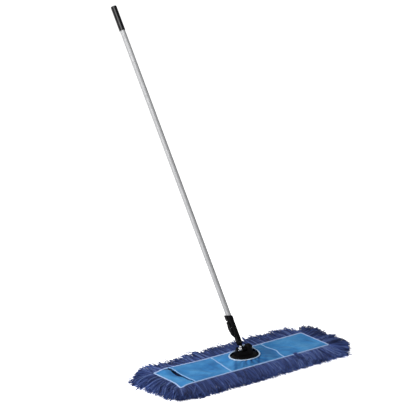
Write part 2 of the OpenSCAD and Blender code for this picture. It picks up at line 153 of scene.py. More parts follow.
class Mat:
    """A Principled material, with short ways to add nodes."""

    def __init__(self, name, colour, rough=0.5, metal=0.0, **more):
        self.m = bpy.data.materials.new(name)
        self.m.use_nodes = True
        self.t = self.m.node_tree
        self.p = self.t.nodes["Principled BSDF"]
        self.p.inputs["Base Color"].default_value = (*colour, 1)
        self.p.inputs["Roughness"].default_value = rough
        self.p.inputs["Metallic"].default_value = metal
        for k, v in more.items():
            s = self.p.inputs[k.replace("_", " ")]
            s.default_value = (*v, 1) if isinstance(v, tuple) else v
        self.m.diffuse_color = (*colour, 1)

    def node(self, kind, **sockets):
        n = self.t.nodes.new("ShaderNode" + kind)
        for k, v in sockets.items():
            if k in n.inputs:
                if isinstance(v, bpy.types.NodeSocket):
                    self.t.links.new(v, n.inputs[k])
                else:
                    n.inputs[k].default_value = v
            else:
                setattr(n, k, v)
        return n

    def math(self, op, a, b=0.0, clamp=False):
        n = self.t.nodes.new("ShaderNodeMath")
        n.operation, n.use_clamp = op, clamp
        for i, v in enumerate((a, b)):
            if isinstance(v, bpy.types.NodeSocket):
                self.t.links.new(v, n.inputs[i])
            else:
                n.inputs[i].default_value = v
        return n.outputs[0]

    def place(self, scale=(1, 1, 1), turn=(0, 0, 0), shift=(0, 0, 0)):
        tc = self.t.nodes.new("ShaderNodeTexCoord")
        mp = self.t.nodes.new("ShaderNodeMapping")
        mp.vector_type = "POINT"
        mp.inputs["Scale"].default_value = scale
        mp.inputs["Rotation"].default_value = turn
        mp.inputs["Location"].default_value = shift
        self.t.links.new(tc.outputs["Object"], mp.inputs["Vector"])
        return mp.outputs["Vector"]

    def noise(self, where, scale, detail=2.0, rough=0.5):
        n = self.t.nodes.new("ShaderNodeTexNoise")
        n.inputs["Scale"].default_value = scale
        n.inputs["Detail"].default_value = detail
        n.inputs["Roughness"].default_value = rough
        self.t.links.new(where, n.inputs["Vector"])
        return n.outputs["Fac"]

    def wave(self, where, scale, direction="X", distortion=0.0, kind="SIN"):
        n = self.t.nodes.new("ShaderNodeTexWave")
        n.wave_type, n.bands_direction, n.wave_profile = "BANDS", direction, kind
        n.inputs["Scale"].default_value = scale
        n.inputs["Distortion"].default_value = distortion
        self.t.links.new(where, n.inputs["Vector"])
        return n.outputs["Fac"]

    def ramp(self, fac, stops):
        n = self.t.nodes.new("ShaderNodeValToRGB")
        e = n.color_ramp.elements
        while len(e) < len(stops):
            e.new(0.5)
        for x, (pos, c) in zip(e, stops):
            x.position, x.color = pos, (*c, 1)
        self.t.links.new(fac, n.inputs["Fac"])
        return n.outputs["Color"]

    def mix(self, fac, a, b, blend="MIX"):
        n = self.t.nodes.new("ShaderNodeMix")
        n.data_type, n.blend_type = "RGBA", blend
        for s, v in ((n.inputs[0], fac), (n.inputs[6], a), (n.inputs[7], b)):
            if isinstance(v, bpy.types.NodeSocket):
                self.t.links.new(v, s)
            else:
                s.default_value = (*v, 1) if isinstance(v, tuple) else v
        return n.outputs[2]

    def span(self, fac, lo, hi, a=0.0, b=1.0):
        n = self.t.nodes.new("ShaderNodeMapRange")
        for k, v in (("From Min", a), ("From Max", b), ("To Min", lo), ("To Max", hi)):
            n.inputs[k].default_value = v
        self.t.links.new(fac, n.inputs["Value"])
        return n.outputs["Result"]

    def bump(self, height, strength, distance, after=None):
        n = self.t.nodes.new("ShaderNodeBump")
        n.inputs["Strength"].default_value = strength
        n.inputs["Distance"].default_value = distance
        self.t.links.new(height, n.inputs["Height"])
        if after is not None:
            self.t.links.new(after, n.inputs["Normal"])
        return n.outputs["Normal"]

    def put(self, socket, value):
        self.t.links.new(value, self.p.inputs[socket])


def black_plastic(name, colour=(0.0018, 0.0018, 0.0022), rough=0.5):
    """Moulded black polypropylene: a fine spark-eroded grain, and dull rubbed patches."""
    m = Mat(name, colour, rough, Specular_IOR_Level=0.09)
    w = m.place()
    grain = m.noise(w, 1500, 2.0, 0.6)
    patch = m.noise(w, 26, 3.0, 0.55)
    m.put("Base Color", m.ramp(patch, [(0.3, tuple(0.85 * c for c in colour)), (0.72, tuple(1.5 * c for c in colour))]))
    m.put("Roughness", m.math("ADD", m.span(patch, rough - 0.07, rough + 0.1, 0.3, 0.7), m.span(grain, -0.04, 0.04)))
    m.put("Normal", m.bump(grain, 0.22, 0.00025))
    return m.m


def grip_vinyl():
    """Glossy dipped vinyl: smooth, with a slow unevenness and a few dull handling marks."""
    m = Mat("grip_vinyl", (0.003, 0.003, 0.0036), 0.16, Specular_IOR_Level=0.45)
    w = m.place()
    slow = m.noise(w, 60, 1.0, 0.4)
    marks = m.noise(m.place((1, 1, 0.35), (LEAN, 0, 0)), 210, 3.0, 0.6)
    m.put("Base Color", m.ramp(slow, [(0.3, (0.0025, 0.0025, 0.003)), (0.75, (0.0045, 0.0045, 0.0055))]))
    m.put("Roughness", m.span(marks, 0.12, 0.25, 0.35, 0.75))
    m.put("Normal", m.bump(slow, 0.12, 0.0012))
    return m.m


def tube_metal():
    """Drawn aluminium tube: clear satin, with faint draw lines along its length."""
    m = Mat("tube_metal", (0.36, 0.363, 0.37), 0.55, 0.35, Specular_IOR_Level=0.3)
    along = m.place((1, 1, 0.012), (LEAN, 0, 0))
    lines = m.noise(along, 1300, 2.0, 0.65)
    cloud = m.noise(m.place((1, 1, 0.12), (LEAN, 0, 0)), 45, 3.0, 0.5)
    m.put("Base Color", m.mix(m.span(cloud, 0.0, 0.6, 0.3, 0.8), (0.385, 0.388, 0.395), (0.335, 0.338, 0.345)))
    m.put("Roughness", m.math("ADD", m.span(cloud, 0.50, 0.60, 0.3, 0.7), m.span(lines, -0.05, 0.05)))
    m.put("Normal", m.bump(lines, 0.10, 0.00012))
    return m.m


def plated_steel(name, colour=(0.72, 0.73, 0.75), rough=0.2):
    """Bright zinc plate with a light haze."""
    m = Mat(name, colour, rough, 1.0)
    haze = m.noise(m.place(), 320, 3.0, 0.6)
    m.put("Base Color", m.ramp(haze, [(0.25, tuple(0.88 * c for c in colour)), (0.75, colour)]))
    m.put("Roughness", m.span(haze, rough - 0.05, rough + 0.12, 0.3, 0.75))
    m.put("Normal", m.bump(haze, 0.05, 0.0003))
    return m.m


def black_steel():
    """Oiled black oxide."""
    m = Mat("black_steel", (0.045, 0.046, 0.05), 0.36, 0.85)
    haze = m.noise(m.place(), 420, 3.0, 0.6)
    m.put("Base Color", m.ramp(haze, [(0.3, (0.034, 0.035, 0.039)), (0.75, (0.075, 0.076, 0.08))]))
    m.put("Roughness", m.span(haze, 0.3, 0.46, 0.3, 0.75))
    return m.m


def friction_fibre():
    """Dark pressed fibre washers."""
    m = Mat("friction_fibre", (0.009, 0.0085, 0.008), 0.85, Specular_IOR_Level=0.2)
    fleck = m.noise(m.place(), 1100, 3.0, 0.7)
    m.put("Base Color", m.ramp(fleck, [(0.3, (0.006, 0.0055, 0.005)), (0.7, (0.016, 0.0145, 0.013))]))
    m.put("Normal", m.bump(fleck, 0.3, 0.0002))
    return m.m


def cloth_mat(name, light, mid, dark, thread=0.00075):
    """Twill: a fine diagonal rib over slubby threads, with slow fading from washing."""
    m = Mat(name, mid, 0.88, Sheen_Weight=0.05, Sheen_Roughness=0.5, Specular_IOR_Level=0.12)
    w = m.place()
    s = 2 * math.pi / 20 / thread
    rib = m.wave(m.place((1, 1, 1), (0, 0, math.radians(58))), s, "X", 0.6)
    weft = m.wave(w, s * 1.2, "Y", 0.5)
    slub_x = m.noise(m.place((0.035, 1, 1)), 1500, 2.0, 0.6)
    slub_y = m.noise(m.place((1, 0.03, 1)), 1300, 2.0, 0.6)
    fade = m.noise(m.place((1, 1.4, 1), (0, 0, 0.5), (0.31, 0.77, 0.0)), 11, 4.0, 0.55)
    colour = m.ramp(fade, [(0.30, dark), (0.5, mid), (0.70, light)])
    slub = m.math("ADD", m.math("MULTIPLY", slub_x, 0.5), m.math("MULTIPLY", slub_y, 0.5))
    colour = m.mix(m.span(slub, 0.0, 0.34, 0.36, 0.68), colour, light)
    colour = m.mix(m.span(rib, 0.26, 0.0, 0.0, 0.7), colour, dark)
    painted_shade = m.node("Attribute", attribute_name="painted_shade").outputs["Fac"]  # painted shade in the gathers' valleys and on the strip in front of the opening
    colour = m.mix(m.math("MULTIPLY", painted_shade, m.span(slub, 0.95, 0.7, 0.36, 0.7)), colour, (0.30 * dark[0], 0.40 * dark[1], 0.52 * dark[2]))
    m.put("Base Color", colour)
    m.put("Roughness", m.span(fade, 0.80, 0.94, 0.3, 0.7))
    height = m.math("ADD", m.math("MULTIPLY", rib, 0.7), m.math("ADD", m.math("MULTIPLY", weft, 0.2), m.math("MULTIPLY", slub, 0.5)))
    m.put("Normal", m.bump(height, 0.35, 0.00022))
    return m.m


def tape_mat(name, tint=(1.0, 1.0, 1.0)):
    """Pale woven tape: cross ribs, and a few fluffed and soiled places."""
    def c(*v):
        return tuple(a * b for a, b in zip(v, tint))

    m = Mat(name, c(0.47, 0.58, 0.88), 0.85, Sheen_Weight=0.08, Specular_IOR_Level=0.15)
    w = m.place()
    s = 2 * math.pi / 20 / 0.0009
    ribs = m.math("MULTIPLY", m.wave(w, s, "X", 0.8), m.wave(w, s, "Y", 0.8))
    soil = m.noise(w, 75, 4.0, 0.6)
    fluff = m.noise(w, 1600, 2.0, 0.6)
    colour = m.ramp(soil, [(0.28, c(0.36, 0.47, 0.78)), (0.5, c(0.47, 0.58, 0.87)), (0.75, c(0.58, 0.67, 0.92))])
    colour = m.mix(m.span(ribs, 0.22, 0.0, 0.0, 0.6), colour, c(0.27, 0.37, 0.66))
    m.put("Base Color", colour)
    m.put("Normal", m.bump(m.math("ADD", m.math("MULTIPLY", ribs, 0.7), m.math("MULTIPLY", fluff, 0.5)), 0.4, 0.00025))
    return m.m


def thread_mat():
    m = Mat("sewing_thread", (0.62, 0.70, 0.92), 0.7, Sheen_Weight=0.1)
    f = m.noise(m.place(), 2600, 2.0, 0.6)
    m.put("Base Color", m.ramp(f, [(0.3, (0.52, 0.60, 0.84)), (0.7, (0.70, 0.77, 0.95))]))
    m.put("Normal", m.bump(f, 0.3, 0.0001))
    return m.m


def yarn_mat(name="yarn"):
    """Plied cut yarn: the shade attribute is the strand's own tone with painted shade added (darker towards the tips,
    lower in the stack and in stretches along the front), the plies wind round it, and the fibres fuzz it.
    """
    m = Mat(name, (0.05, 0.07, 0.30), 0.92, Sheen_Weight=0.10, Sheen_Roughness=0.55, Specular_IOR_Level=0.10)
    shade = m.node("Attribute", attribute_name="shade").outputs["Fac"]
    uv = m.node("UVMap", uv_map="yarn").outputs["UV"]
    sep = m.node("SeparateXYZ", Vector=uv)
    turns = m.math("ADD", m.math("MULTIPLY", sep.outputs["X"], 2 * 2 * math.pi), m.math("MULTIPLY", sep.outputs["Y"], 2 * math.pi / 0.0075))
    ply = m.math("MULTIPLY", m.math("ADD", m.math("SINE", turns), 1.0), 0.5)
    fibre = m.noise(m.place(), 1500, 3.0, 0.65)
    colour = m.ramp(shade, [
        (0.0, (0.010, 0.019, 0.090)), (0.3, (0.026, 0.050, 0.190)), (0.6, (0.050, 0.089, 0.300)), (0.82, (0.102, 0.165, 0.440)), (1.0, (0.20, 0.29, 0.58))])
    # painted shade in the grooves between the plies
    colour = m.mix(m.span(ply, 0.42, 0.0, 0.0, 0.75), colour, (0.008, 0.014, 0.065))
    colour = m.mix(m.span(fibre, 0.0, 0.22, 0.42, 0.75), colour, (0.12, 0.185, 0.44))
    m.put("Base Color", colour)
    m.put("Normal", m.bump(m.math("ADD", ply, m.math("MULTIPLY", fibre, 0.5)), 0.55, 0.0006))
    return m.m


# ---------- meshes ----------


def mesh_object(name, co, faces, mats, smooth=True, sharp=None, slots=None):
    """co: (n, 3) in mm. faces: integer arrays, one per face size."""
    me = bpy.data.meshes.new(name)
    co = np.asarray(co, float) * MM
    me.vertices.add(len(co))
    me.vertices.foreach_set("co", co.astype(np.float32).ravel())
    faces = [np.asarray(f, np.int32) for f in faces if len(f)]
    loops = np.concatenate([f.ravel() for f in faces])
    total = np.concatenate([np.full(len(f), f.shape[1], np.int32) for f in faces])
    start = np.concatenate([[0], np.cumsum(total)[:-1]]).astype(np.int32)
    me.loops.add(len(loops))
    me.loops.foreach_set("vertex_index", loops.astype(np.int32))
    me.polygons.add(len(total))
    me.polygons.foreach_set("loop_start", start)
    me.polygons.foreach_set("use_smooth", np.full(len(total), bool(smooth)))
    if slots is not None:
        me.polygons.foreach_set("material_index", np.asarray(slots, np.int32))
    me.update(calc_edges=True)
    if sharp is not None:
        me.set_sharp_from_angle(angle=math.radians(sharp))
    for m in mats if isinstance(mats, (list, tuple)) else [mats]:
        me.materials.append(m)
    ob = bpy.data.objects.new(name, me)
    scene.collection.objects.link(ob)
    return ob


def unit(v):
    n = np.linalg.norm(v, axis=-1, keepdims=True)
    return v / np.maximum(n, 1e-12)


def tube_mesh(P, R, sides, blunt=0.5, side=None):
    """Closed tubes along many paths. P: (n, k, 3), R: (n, k). Returns co, quads, tris."""
    n, k, _ = P.shape
    T = unit(np.gradient(P, axis=1))
    flat = np.abs(T[:, :, 2]).mean(1) < 0.85
    ref = np.where(flat[:, None], [[0.0, 0.0, 1.0]], [[1.0, 0.0, 0.0]])[:, None, :] if side is None else np.asarray(side, float)
    A = unit(np.cross(T, np.broadcast_to(ref, T.shape)))
    B = np.cross(A, T)
    a = np.arange(sides) / sides * 2 * math.pi
    ring = np.cos(a)[:, None] * A[:, :, None, :] + np.sin(a)[:, None] * B[:, :, None, :]
    V = P[:, :, None, :] + R[:, :, None, None] * ring  # n, k, sides, 3
    tip0 = P[:, 0] - T[:, 0] * R[:, :1] * blunt
    tip1 = P[:, -1] + T[:, -1] * R[:, -1:] * blunt
    per = k * sides + 2
    co = np.concatenate([V.reshape(n, k * sides, 3), tip0[:, None], tip1[:, None]], 1).reshape(-1, 3)
    j = np.arange(sides)
    j2 = (j + 1) % sides
    i = np.arange(k - 1)[:, None]
    q = np.stack([i * sides + j, i * sides + j2, (i + 1) * sides + j2, (i + 1) * sides + j], -1).reshape(-1, 4)
    t = np.concatenate([
        np.stack([np.full(sides, k * sides), j2, j], -1),
        np.stack([np.full(sides, k * sides + 1), (k - 1) * sides + j, (k - 1) * sides + j2], -1)])
    base = (np.arange(n) * per)[:, None, None]
    return co, (q[None] + base).reshape(-1, 4), (t[None] + base).reshape(-1, 3)


def strands(name, P, R, shade, mat, sides=5):
    """Many yarn strands as one mesh: a shade for each, a map of turns and length for the plies, and a map with a place for each strand."""
    n, k, _ = P.shape
    co, q, t = tube_mesh(P, R, sides)
    ob = mesh_object(name, co, [q, t], mat)
    me = ob.data
    per = k * sides + 2
    along = np.concatenate([np.zeros((n, 1)), np.cumsum(np.linalg.norm(np.diff(P, axis=1), axis=2), 1)], 1) * MM
    # painted shade: each strand darkens towards its tip
    tint = np.repeat(shade[:, None] - 0.06 * (np.linspace(0, 1, k) ** 3)[None], sides, 1)
    tint = np.concatenate([tint, shade[:, None], shade[:, None] + 0.02], 1)
    at = me.attributes.new("shade", "FLOAT", "POINT")
    at.data.foreach_set("value", np.clip(tint, 0, 1).astype(np.float32).ravel())
    # corner by corner: quads first, then the end caps
    j = np.arange(sides)
    i = np.arange(k - 1)
    qu = np.stack([j, j + 1, j + 1, j], -1)[None].repeat(k - 1, 0).reshape(-1, 4) / sides
    qi = np.stack([i, i, i + 1, i + 1], -1)[:, None].repeat(sides, 1).reshape(-1, 4)
    tu = np.concatenate([np.stack([j + 0.5, j + 1, j], -1), np.stack([j + 0.5, j, j + 1], -1)]) / sides
    ti = np.concatenate([np.tile([-1, 0, 0], (sides, 1)), np.tile([k, k - 1, k - 1], (sides, 1))])
    grid = np.concatenate([along[:, :1] - 0.001, along, along[:, -1:] + 0.001], 1)  # index -1 and k are the tips
    yq = grid[:, qi + 1]
    yt = grid[:, ti + 1]
    turn = np.concatenate([np.broadcast_to(qu, yq.shape).reshape(-1), np.broadcast_to(tu, yt.shape).reshape(-1)])
    size = np.concatenate([yq.reshape(-1), yt.reshape(-1)])
    uv = me.uv_layers.new(name="yarn")
    uv.uv.foreach_set("vector", np.stack([turn, size], -1).astype(np.float32).ravel())
    # the map with one narrow cell a strand
    rows = max(1, int(math.sqrt(n / 5.0)))
    cols = math.ceil(n / rows)
    cx, cy = (np.arange(n) % cols) / cols, (np.arange(n) // cols) / rows
    w, h = 0.86 / cols, 0.94 / rows
    step = np.concatenate([[0.0], 0.02 + np.linspace(0, 0.96, k), [1.0]])
    X = np.concatenate([(cx[:, None, None] + w * qu[None] + 0.07 / cols).reshape(-1), (cx[:, None, None] + w * tu[None] + 0.07 / cols).reshape(-1)])
    Y = np.concatenate([(cy[:, None, None] + h * step[qi + 1][None] + 0.03 / rows).reshape(-1), (cy[:, None, None] + h * step[ti + 1][None] + 0.03 / rows).reshape(-1)])
    uv = me.uv_layers.new(name="OFBake")
    uv.uv.foreach_set("vector", np.stack([X, Y], -1).astype(np.float32).ravel())
    return ob


def shell(name, P, t, mat, ring=False):
    """A sheet of thickness t on a grid of middle points P (nu, nv, 3). ring: the grid closes in u."""
    nu, nv, _ = P.shape
    if ring:
        du = np.roll(P, -1, 0) - np.roll(P, 1, 0)
    else:
        du = np.gradient(P, axis=0)
    dv = np.gradient(P, axis=1)
    N = unit(np.cross(du, dv))
    if N[..., 2].mean() < 0:
        N = -N
    co = np.concatenate([(P + N * t / 2).reshape(-1, 3), (P - N * t / 2).reshape(-1, 3)])
    m = nu * nv
    iu = np.arange(nu if ring else nu - 1)
    a, b = np.meshgrid(iu, np.arange(nv - 1), indexing="ij")
    a2 = (a + 1) % nu
    top = np.stack([a * nv + b, a2 * nv + b, a2 * nv + b + 1, a * nv + b + 1], -1).reshape(-1, 4)
    edge = []
    u2 = (iu + 1) % nu
    edge.append(np.stack([iu * nv, iu * nv + m, u2 * nv + m, u2 * nv], -1))
    edge.append(np.stack([u2 * nv + nv - 1, u2 * nv + nv - 1 + m, iu * nv + nv - 1 + m, iu * nv + nv - 1], -1))
    if not ring:
        v = np.arange(nv - 1)
        l = (nu - 1) * nv
        edge.append(np.stack([v + 1, v + 1 + m, v + m, v], -1))
        edge.append(np.stack([l + v, l + v + m, l + v + 1 + m, l + v + 1], -1))
    edge = np.concatenate(edge)
    # the top faces point up
    p0, p1, p2 = (co[top[:, i]] for i in range(3))
    if np.cross(p1 - p0, p2 - p0)[:, 2].mean() < 0:
        top, edge = top[:, ::-1], edge[:, ::-1]
    return mesh_object(name, co, [top, top[:, ::-1] + m, edge], mat, sharp=55)


def sweep(path, frames, profile, closed=True):
    """A closed profile (m, 2) swept along path (n, 3); frames gives the profile's two axes at each point, (n, 3) each. Returns co and faces."""
    A, B = frames
    n, m = len(path), len(profile)
    if np.ndim(profile) == 2:
        profile = np.broadcast_to(np.asarray(profile)[None], (n, m, 2))
    else:
        m = profile.shape[1]
    co = (path[:, None] + profile[..., :1] * A[:, None] + profile[..., 1:] * B[:, None]).reshape(-1, 3)
    i = np.arange(n if closed else n - 1)[:, None]
    i2 = (i + 1) % n
    j = np.arange(m)
    j2 = (j + 1) % m
    q = np.stack([i * m + j, i2 * m + j, i2 * m + j2, i * m + j2], -1).reshape(-1, 4)
    faces = [q]
    if not closed:
        faces.append(np.arange(m)[None, :])
        faces.append((np.arange(m)[::-1] + (n - 1) * m)[None, :])
    return co, faces


def outward(co, faces):
    """The faces, turned if the closed mesh is inside out."""
    v = 0.0
    for f in faces:
        for i in range(1, f.shape[1] - 1):
            v += np.einsum("ij,ij->i", co[f[:, 0]], np.cross(co[f[:, i]], co[f[:, i + 1]])).sum()
    return faces if v > 0 else [f[:, ::-1] for f in faces]


def waves(seed, length, count=7, spread=0.45):
    """A smooth random field over the pad, near 1 in size, with features of about that length."""
    r = np.random.default_rng(seed)
    ang, k = r.uniform(0, math.pi, count), 2 * math.pi / length * r.uniform(1 - spread, 1 + spread, count)
    ph, am = r.uniform(0, 2 * math.pi, count), r.uniform(0.5, 1.0, count)
    am = am / math.sqrt((am**2).sum() / 2)

    def field(x, y):
        s = 0.0
        for a, q, p, m in zip(ang, k, ph, am):
            s = s + m * np.sin(q * (np.cos(a) * x + np.sin(a) * y) + p)
        return s

    return field


def smooth(x, a, b):
    t = np.clip((x - a) / (b - a), 0, 1)
    return t * t * (3 - 2 * t)


def ridge(x, y, p, q, width, height):
    """A soft fold along the line from p to q that fades at both ends."""
    d = np.array(q, float) - np.array(p, float)
    L = np.hypot(*d)
    s = ((x - p[0]) * d[0] + (y - p[1]) * d[1]) / L
    c = ((x - p[0]) * -d[1] + (y - p[1]) * d[0]) / L
    fade = smooth(s, 0, 0.3 * L) * (1 - smooth(s, 0.7 * L, L))
    return height * np.exp(-((c / width) ** 2)) * fade


def seam(ends, y):
    return ends[0] + (ends[1] - ends[0]) * (y + PY) / (2 * PY)


def ring_lift(x, y):
    """How far the opening's binding stands up, from 0 to 1: it rides up behind the hinge."""
    a = np.degrees(np.arctan2(y / RING_B, (x - BASE_X) / RING_A))
    return np.exp(-(((a - 60.0) / np.where(a > 60.0, 25.0, 42.0)) ** 2))


def ring_height(x, y):
    """Middle of the opening's binding at x and y."""
    return RING_Z + RING_TILT * y / RING_B + RING_BACK * ring_lift(x, y) - RING_DROP * np.maximum(0, (BASE_X - x) / RING_A) ** 2


def bow(y):
    """The right seam's bow to the right."""
    return 13.0 * np.exp(-(((y + 10.0) / 38.0) ** 2)) * (1 - (y / PY) ** 4)


def droop(P):
    """The pad's front left corner hangs a little lower and further out, and its back edge stands higher towards the left end."""
    x, y, z = P[..., 0], P[..., 1], P[..., 2]
    w = np.exp(-(((x + 403.0) ** 2 + (y + 98.0) ** 2) / 28.0**2))
    high = smooth(x, -405, -345) * (1 - smooth(x, -360, -120)) * smooth(y, 0, 92) * (1 - smooth(y, 100, 140)) * smooth(z, 21.0, 32.0)
    return P + w[..., None] * np.array([-5.0, -2.5, -6.5]) + high[..., None] * np.array([0.0, 0.0, 7.0])


# ---------- the pad's cloth ----------

slow = waves(3, 130)
mid_wave = waves(8, 62)
fine_wave = waves(21, 24)


def cloth_height(x, y):
    """Middle of the top cloth over the flat part of the pad."""
    edge = np.minimum(PX - np.abs(x), PY - np.abs(y))
    free = smooth(edge, 1.0, 26.0)
    z = Z_CLOTH + free * (1.0 * slow(x, y) + 0.9 * mid_wave(x, y) + 0.14 * fine_wave(x, y))
    # the cloth hangs a little between the wires
    z = z - 1.5 * np.cos(np.clip(y / 66.0, -1, 1) * math.pi / 2) * smooth(np.abs(x), 90, 150) * free
    # folds pulled towards the frame's corners and the seams
    for p, q, w, h in FOLDS:
        z = z + free * 1.5 * ridge(x, y, p, q, w, h)
    # the seams hold it taut
    for line, off in ((SEAM_L, 0.0), (SEAM_R, bow(y))):
        taut = 0.8 * np.exp(-(((x - seam(line, y) - off) / 22.0) ** 2))
        z = z + taut * (Z_CLOTH + 0.4 * free - z)
    # it lies on the wires
    on_wire = np.exp(-(((np.abs(y) - 70.0) / 6.5) ** 2)) * smooth(np.abs(x - BASE_X), 105, 120)
    low = Z_CLOTH - 0.35
    z = np.where(on_wire > 0.02, z + on_wire * np.maximum(low - z, 0), z)
    return z


FOLDS = [
    # left panel
    ((-310, 60), (-190, -60), 9, 1.9), ((-250, -80), (-140, -20), 8, 1.7), ((-215, 30), (-185, -75), 10, -1.9),
    ((-300, -30), (-230, -80), 7, 1.4), ((-200, 80), (-110, 40), 8, 1.5), ((-165, 60), (-150, -50), 9, 1.6),
    # right panel
    ((190, 70), (300, -10), 9, 1.9), ((215, -20), (330, -70), 8, 1.7), ((300, 80), (385, 20), 8, 1.6),
    ((255, 10), (265, -75), 9, -1.6), ((340, 40), (375, -60), 8, 1.5), ((175, -10), (230, -80), 8, 1.6),
    # end panel
    ((-385, 60), (-340, -40), 7, 1.4), ((-375, -20), (-335, -80), 6, 1.2),
]


def slit_shape(y):
    """How far the slit's mouth is open at y, from 0 to 1: widest past the middle, narrow at both ends."""
    return np.interp(y, (-93, -86, -40, -10, 8, 24, 40, 62, 80, 93), (0.06, 0.18, 0.24, 0.34, 0.72, 1.0, 0.96, 0.80, 0.64, 0.42))


def slit_line(y):
    """X of the slit, which slants outwards to the back."""
    return SLIT_X - 3.0 * smooth(y, 0.0, 100.0)


def panel_grid(left, right, step=3.6):
    """A grid over the strip of the pad between two edges, each a function of y."""
    ny = int(2 * (PY - 0.2) / step)
    y = np.linspace(-PY + 0.2, PY - 0.2, ny + 1)
    wide = float(np.mean(right(y) - left(y)))
    nx = int(wide / step)
    s = np.linspace(0, 1, nx + 1)[:, None]
    x = left(y)[None] * (1 - s) + right(y)[None] * s
    return x, np.broadcast_to(y[None], x.shape).copy()


def make_cloth(mat):
    made = {}
    # end panel: its free edge drops into the slit
    x, y = panel_grid(lambda y: -PX + 0.2 + 0 * y, lambda y: slit_line(y) - 0.9 - 3.2 * slit_shape(y))
    z = cloth_height(x, y)
    near = smooth(x - slit_line(y), -45, -3)
    z = z - near**2 * (4.6 * slit_shape(y) + 0.6)
    made["end_panel"] = (droop(np.stack([x, y, z], -1)), (0.069, 0.186), ["frame_wire_left"])
    # left panel: its hemmed edge lifts over the slit
    x, y = panel_grid(lambda y: slit_line(y) + 1.2 + 1.8 * slit_shape(y), lambda y: seam(SEAM_L, y) - 0.2)
    z = cloth_height(x, y)
    near = 1 - smooth(x - slit_line(y), 5, 55)
    z = z + near**2 * (3.4 * slit_shape(y) + 0.7)
    made["left_panel"] = (droop(np.stack([x, y, z], -1)), (0.213, 0.188), ["frame_wire_left"])
    # right panel
    x, y = panel_grid(lambda y: seam(SEAM_R, y) + bow(y) + 0.2, lambda y: PX - 0.2 + 0 * y)
    made["right_panel"] = (np.stack([x, y, cloth_height(x, y)], -1), (0.238, 0.188), ["frame_wire_right"])
    # middle panel: up to the oval opening, puckered where it is gathered into the ring
    grid, painted_shade = middle_grid()
    made["middle_panel"] = (grid, (0.282, 0.188), ["center_plate", "frame_wire_left", "frame_wire_right"])
    out = {}
    for name, (P, flat, rests) in made.items():
        ob = shell(name + "_cloth", P, CT, mat, ring=name == "middle_panel")
        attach(ob, "head")
        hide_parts(name)
        # the middle panel's painted shade in its folds goes on as a point attribute; the other panels get none
        both = np.tile(painted_shade.ravel(), 2) if name == "middle_panel" else np.zeros(len(ob.data.vertices))
        ob.data.attributes.new("painted_shade", "FLOAT", "POINT").data.foreach_set("value", both.astype(np.float32))
        out[name] = (ob, flat, rests)
    return out


def middle_outline(n):
    """Points round the middle panel's outer edge, evenly by length."""
    c = np.array([(SEAM_R[0] - 0.2, -PY + 0.2), (SEAM_R[1] - 0.2, PY - 0.2), (SEAM_L[1] + 0.2, PY - 0.2), (SEAM_L[0] + 0.2, -PY + 0.2)])
    d = np.roll(c, -1, 0) - c
    L = np.hypot(d[:, 0], d[:, 1])
    at = np.concatenate([[0], np.cumsum(L)])
    s = np.linspace(0, at[-1], n, endpoint=False)
    # keep the corners
    for a in at[:-1]:
        s[np.argmin(np.abs(s - a))] = a
    e = np.clip(np.searchsorted(at, s, "right") - 1, 0, 3)
    P = c[e] + d[e] * ((s - at[e]) / L[e])[:, None]
    P[e == 0, 0] += bow(P[e == 0, 1])
    return P


PUCKERS = [  # angle round the ring in degrees, width in degrees, depth, reach
    (-156, 7, 2.0, 0.55), (-138, 7, 3.0, 0.8), (-121, 6, 4.2, 0.92), (-103, 7, 4.6, 0.92), (-86, 6, 3.4, 0.92), (-70, 6, 3.0, 0.92),
    (-54, 7, 2.6, 0.9), (-38, 8, 2.0, 0.8), (-20, 8, 1.4, 0.6), (0, 9, 1.6, 0.5), (28, 9, 1.6, 0.6), (57, 8, 1.8, 0.8), (84, 8, 1.6, 0.9),
    (112, 8, 1.8, 0.8), (141, 9, 1.8, 0.6), (171, 8, 1.8, 0.5)]


